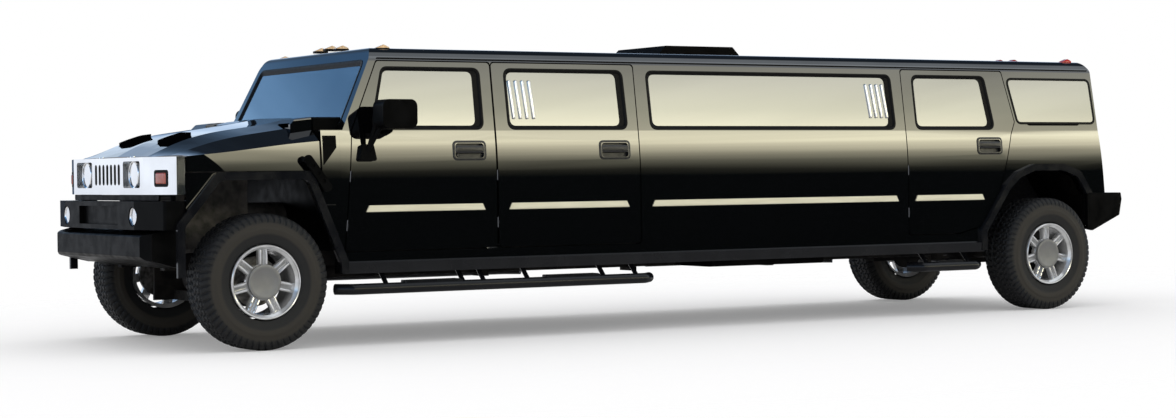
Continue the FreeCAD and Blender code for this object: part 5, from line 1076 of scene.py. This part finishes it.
# Floor: a pale matt sheet that fades into the white background, so only the soft
# shadow round the car shows.
floor_mesh = bpy.data.meshes.new("studio_floor")
floor_mesh.from_pydata([(-30, -30, 0), (30, -30, 0), (30, 30, 0), (-30, 30, 0)], [],
                       [(0, 1, 2, 3)])
studio_floor = bpy.data.objects.new("studio_floor", floor_mesh)
bpy.context.scene.collection.objects.link(studio_floor)
pale = bpy.data.materials.new("pale_floor")
pale.use_nodes = True
tree = pale.node_tree
tree.nodes.clear()
camera_ray = node(tree, "LightPath", {}).outputs["Is Camera Ray"]
glow = node(tree, "Emission", {"Strength": arithmetic(tree, "MULTIPLY", camera_ray, 0.22)})
matt = node(tree, "BsdfDiffuse", {"Color": (0.84, 0.835, 0.83, 1)})
sheet = node(tree, "AddShader", {0: matt.outputs[0], 1: glow.outputs[0]})
place = node(tree, "TexCoord", {}).outputs["Object"]
flat = node(tree, "VectorMath", {0: place, 1: (0.62, 1, 0)}, operation="MULTIPLY")
far = node(tree, "VectorMath", {0: flat.outputs[0]}, operation="LENGTH")
edge = node(tree, "MapRange", {"From Min": 3.2, "From Max": 7.5, "Value": far.outputs["Value"]},
            interpolation_type="SMOOTHSTEP")
clear = node(tree, "BsdfTransparent", {})
fade = node(tree, "MixShader", {0: edge.outputs[0], 1: sheet.outputs[0], 2: clear.outputs[0]})
node(tree, "OutputMaterial", {"Surface": fade.outputs[0]})
floor_mesh.materials.append(pale)

# Studio light: a plain soft dome; what gloss mirrors is a warm low band over a dark
# horizon on the near side, a cool sky beyond and pale screens ahead, white for the camera.
world = bpy.data.worlds.new("studio")
bpy.context.scene.world = world
world.use_nodes = True
tree = world.node_tree
tree.nodes.clear()
direction = node(tree, "TexCoord", {}).outputs["Generated"]
split = node(tree, "SeparateXYZ", {0: direction}).outputs
height = node(tree, "MapRange", {"From Min": -1.0, "Value": split["Z"]}).outputs["Result"]
sky_scale = 9.0


def sky_ramp(stops, low=-1.0, high=1.0, source=height):
    """Colours along a direction's height, or along another value between low and high."""
    band = node(tree, "ValToRGB", {"Fac": source})
    while len(band.color_ramp.elements) < len(stops):
        band.color_ramp.elements.new(0.5)
    for element, (stop, colour) in zip(band.color_ramp.elements, stops):
        element.position = (stop - low) / (high - low)
        element.color = (*[part / sky_scale for part in colour], 1)
    return band.outputs["Color"]


away = arithmetic(tree, "MAXIMUM", arithmetic(tree, "MULTIPLY", split["Y"], -1.0), 0.05)
steep = arithmetic(tree, "DIVIDE", split["Z"], away)
steep_share = arithmetic(tree, "DIVIDE", arithmetic(tree, "ADD", steep, 0.5), 2.0)
near = sky_ramp([(-0.5, (0.2, 0.2, 0.2)), (-0.12, (0.008, 0.01, 0.01)),
                 (0.055, (0.012, 0.016, 0.016)), (0.095, (0.12, 0.12, 0.09)),
                 (0.14, (0.7, 0.68, 0.5)), (0.185, (2.1, 1.97, 1.43)),
                 (0.23, (4.3, 4.0, 2.9)), (0.265, (6.0, 5.65, 4.1)), (0.295, (6.3, 5.95, 4.4)),
                 (0.316, (3.3, 3.1, 2.3)), (0.335, (2.2, 2.15, 1.65)),
                 (0.36, (1.65, 1.63, 1.4)), (0.42, (1.2, 1.22, 1.2)),
                 (0.8, (0.9, 0.95, 1.0)), (1.5, (1.2, 1.3, 1.4))], -0.5, 1.5, steep_share)
distant = sky_ramp([(-1.0, (0.3, 0.3, 0.3)), (-0.05, (0.03, 0.04, 0.06)),
                    (0.03, (0.06, 0.1, 0.17)), (0.075, (0.2, 0.3, 0.45)),
                    (0.12, (0.6, 0.8, 1.1)), (0.17, (0.95, 1.15, 1.42)),
                    (0.25, (0.95, 1.15, 1.4)), (0.31, (0.42, 0.6, 0.88)),
                    (0.4, (0.15, 0.25, 0.4)), (0.5, (0.03, 0.045, 0.07)),
                    (1.0, (0.05, 0.07, 0.1))])
ahead_sky = sky_ramp([(-1.0, (0.3, 0.3, 0.3)), (-0.35, (0.4, 0.4, 0.42)),
                      (-0.1, (0.9, 0.95, 1.05)), (0.15, (0.98, 1.05, 1.16)),
                      (0.24, (1.1, 1.4, 1.8)), (0.295, (1.0, 1.6, 2.3)),
                      (0.325, (0.3, 0.58, 1.0)), (0.36, (0.15, 0.34, 0.66)),
                      (0.5, (0.09, 0.2, 0.4)), (0.75, (0.04, 0.07, 0.12)),
                      (1.0, (0.05, 0.07, 0.1))])


def share_of(axis, start, end):
    """Smooth step from 0 to 1 as the direction's part along an axis goes from start to end."""
    return node(tree, "MapRange", {"From Min": start, "From Max": end, "Value": split[axis]},
                interpolation_type="SMOOTHSTEP").outputs["Result"]


def mixed(share, first, second):
    """First colour where the share is 0, second colour where it is 1."""
    return node(tree, "Mix", {"Factor": share, 6: first, 7: second}, data_type="RGBA").outputs[2]


sides = mixed(share_of("Y", 0.1, -0.15), distant, near)
whole = mixed(share_of("X", -0.02, -0.22), sides, ahead_sky)
streak = node(tree, "Mapping", {"Scale": (1.0, 1.0, 14.0), "Vector": direction})
haze = node(tree, "TexNoise", {"Scale": 3.0, "Detail": 3.0, "Vector": streak.outputs["Vector"]})
cloud = node(tree, "MapRange", {"From Min": 0.3, "From Max": 0.7, "To Min": 0.86 * sky_scale,
                                "To Max": 1.1 * sky_scale, "Value": haze.outputs["Fac"]})
sky = node(tree, "Background", {"Color": whole, "Strength": cloud.outputs["Result"]})
white = node(tree, "Background", {"Color": (1, 1, 1, 1)})
dome = node(tree, "Background", {"Color": (0.98, 0.985, 1.0, 1), "Strength": 0.95})
ray = node(tree, "LightPath", {}).outputs
seen = arithmetic(tree, "MAXIMUM", ray["Is Camera Ray"], ray["Is Transmission Ray"])
lit = node(tree, "MixShader", {0: ray["Is Glossy Ray"], 1: dome.outputs[0], 2: sky.outputs[0]})
choose = node(tree, "MixShader", {0: seen, 1: lit.outputs[0], 2: white.outputs[0]})
node(tree, "OutputWorld", {"Surface": choose.outputs[0]})

# Camera: a long lens, low and ahead of the left front corner, at the place and turn that were
# fitted to the wheels, lamps and window corners of the photograph.
camera_data = bpy.data.cameras.new("camera")
camera_data.lens = 70.83
camera_data.sensor_width = 36.0
camera_data.clip_end = 200.0
camera = bpy.data.objects.new("camera", camera_data)
bpy.context.scene.collection.objects.link(camera)
camera.location = (-9.2858, -14.7127, 1.1057)
yaw, pitch, roll = 0.547290468, 0.0149390061, -0.0114561167
ahead = np.array([math.sin(yaw), math.cos(yaw), 0.0])
sideways = np.array([math.cos(yaw), -math.sin(yaw), 0.0])
upward = np.array([0.0, 0.0, 1.0])
ahead, upward = (ahead * math.cos(pitch) - upward * math.sin(pitch),
                 upward * math.cos(pitch) + ahead * math.sin(pitch))
sideways, upward = (sideways * math.cos(roll) + upward * math.sin(roll),
                    upward * math.cos(roll) - sideways * math.sin(roll))
turned = Matrix(np.stack([sideways, upward, -ahead], axis=1).tolist())
camera.rotation_mode = "QUATERNION"
camera.rotation_quaternion = turned.to_quaternion()
bpy.context.scene.camera = camera
bpy.context.scene.view_settings.view_transform = "Standard"
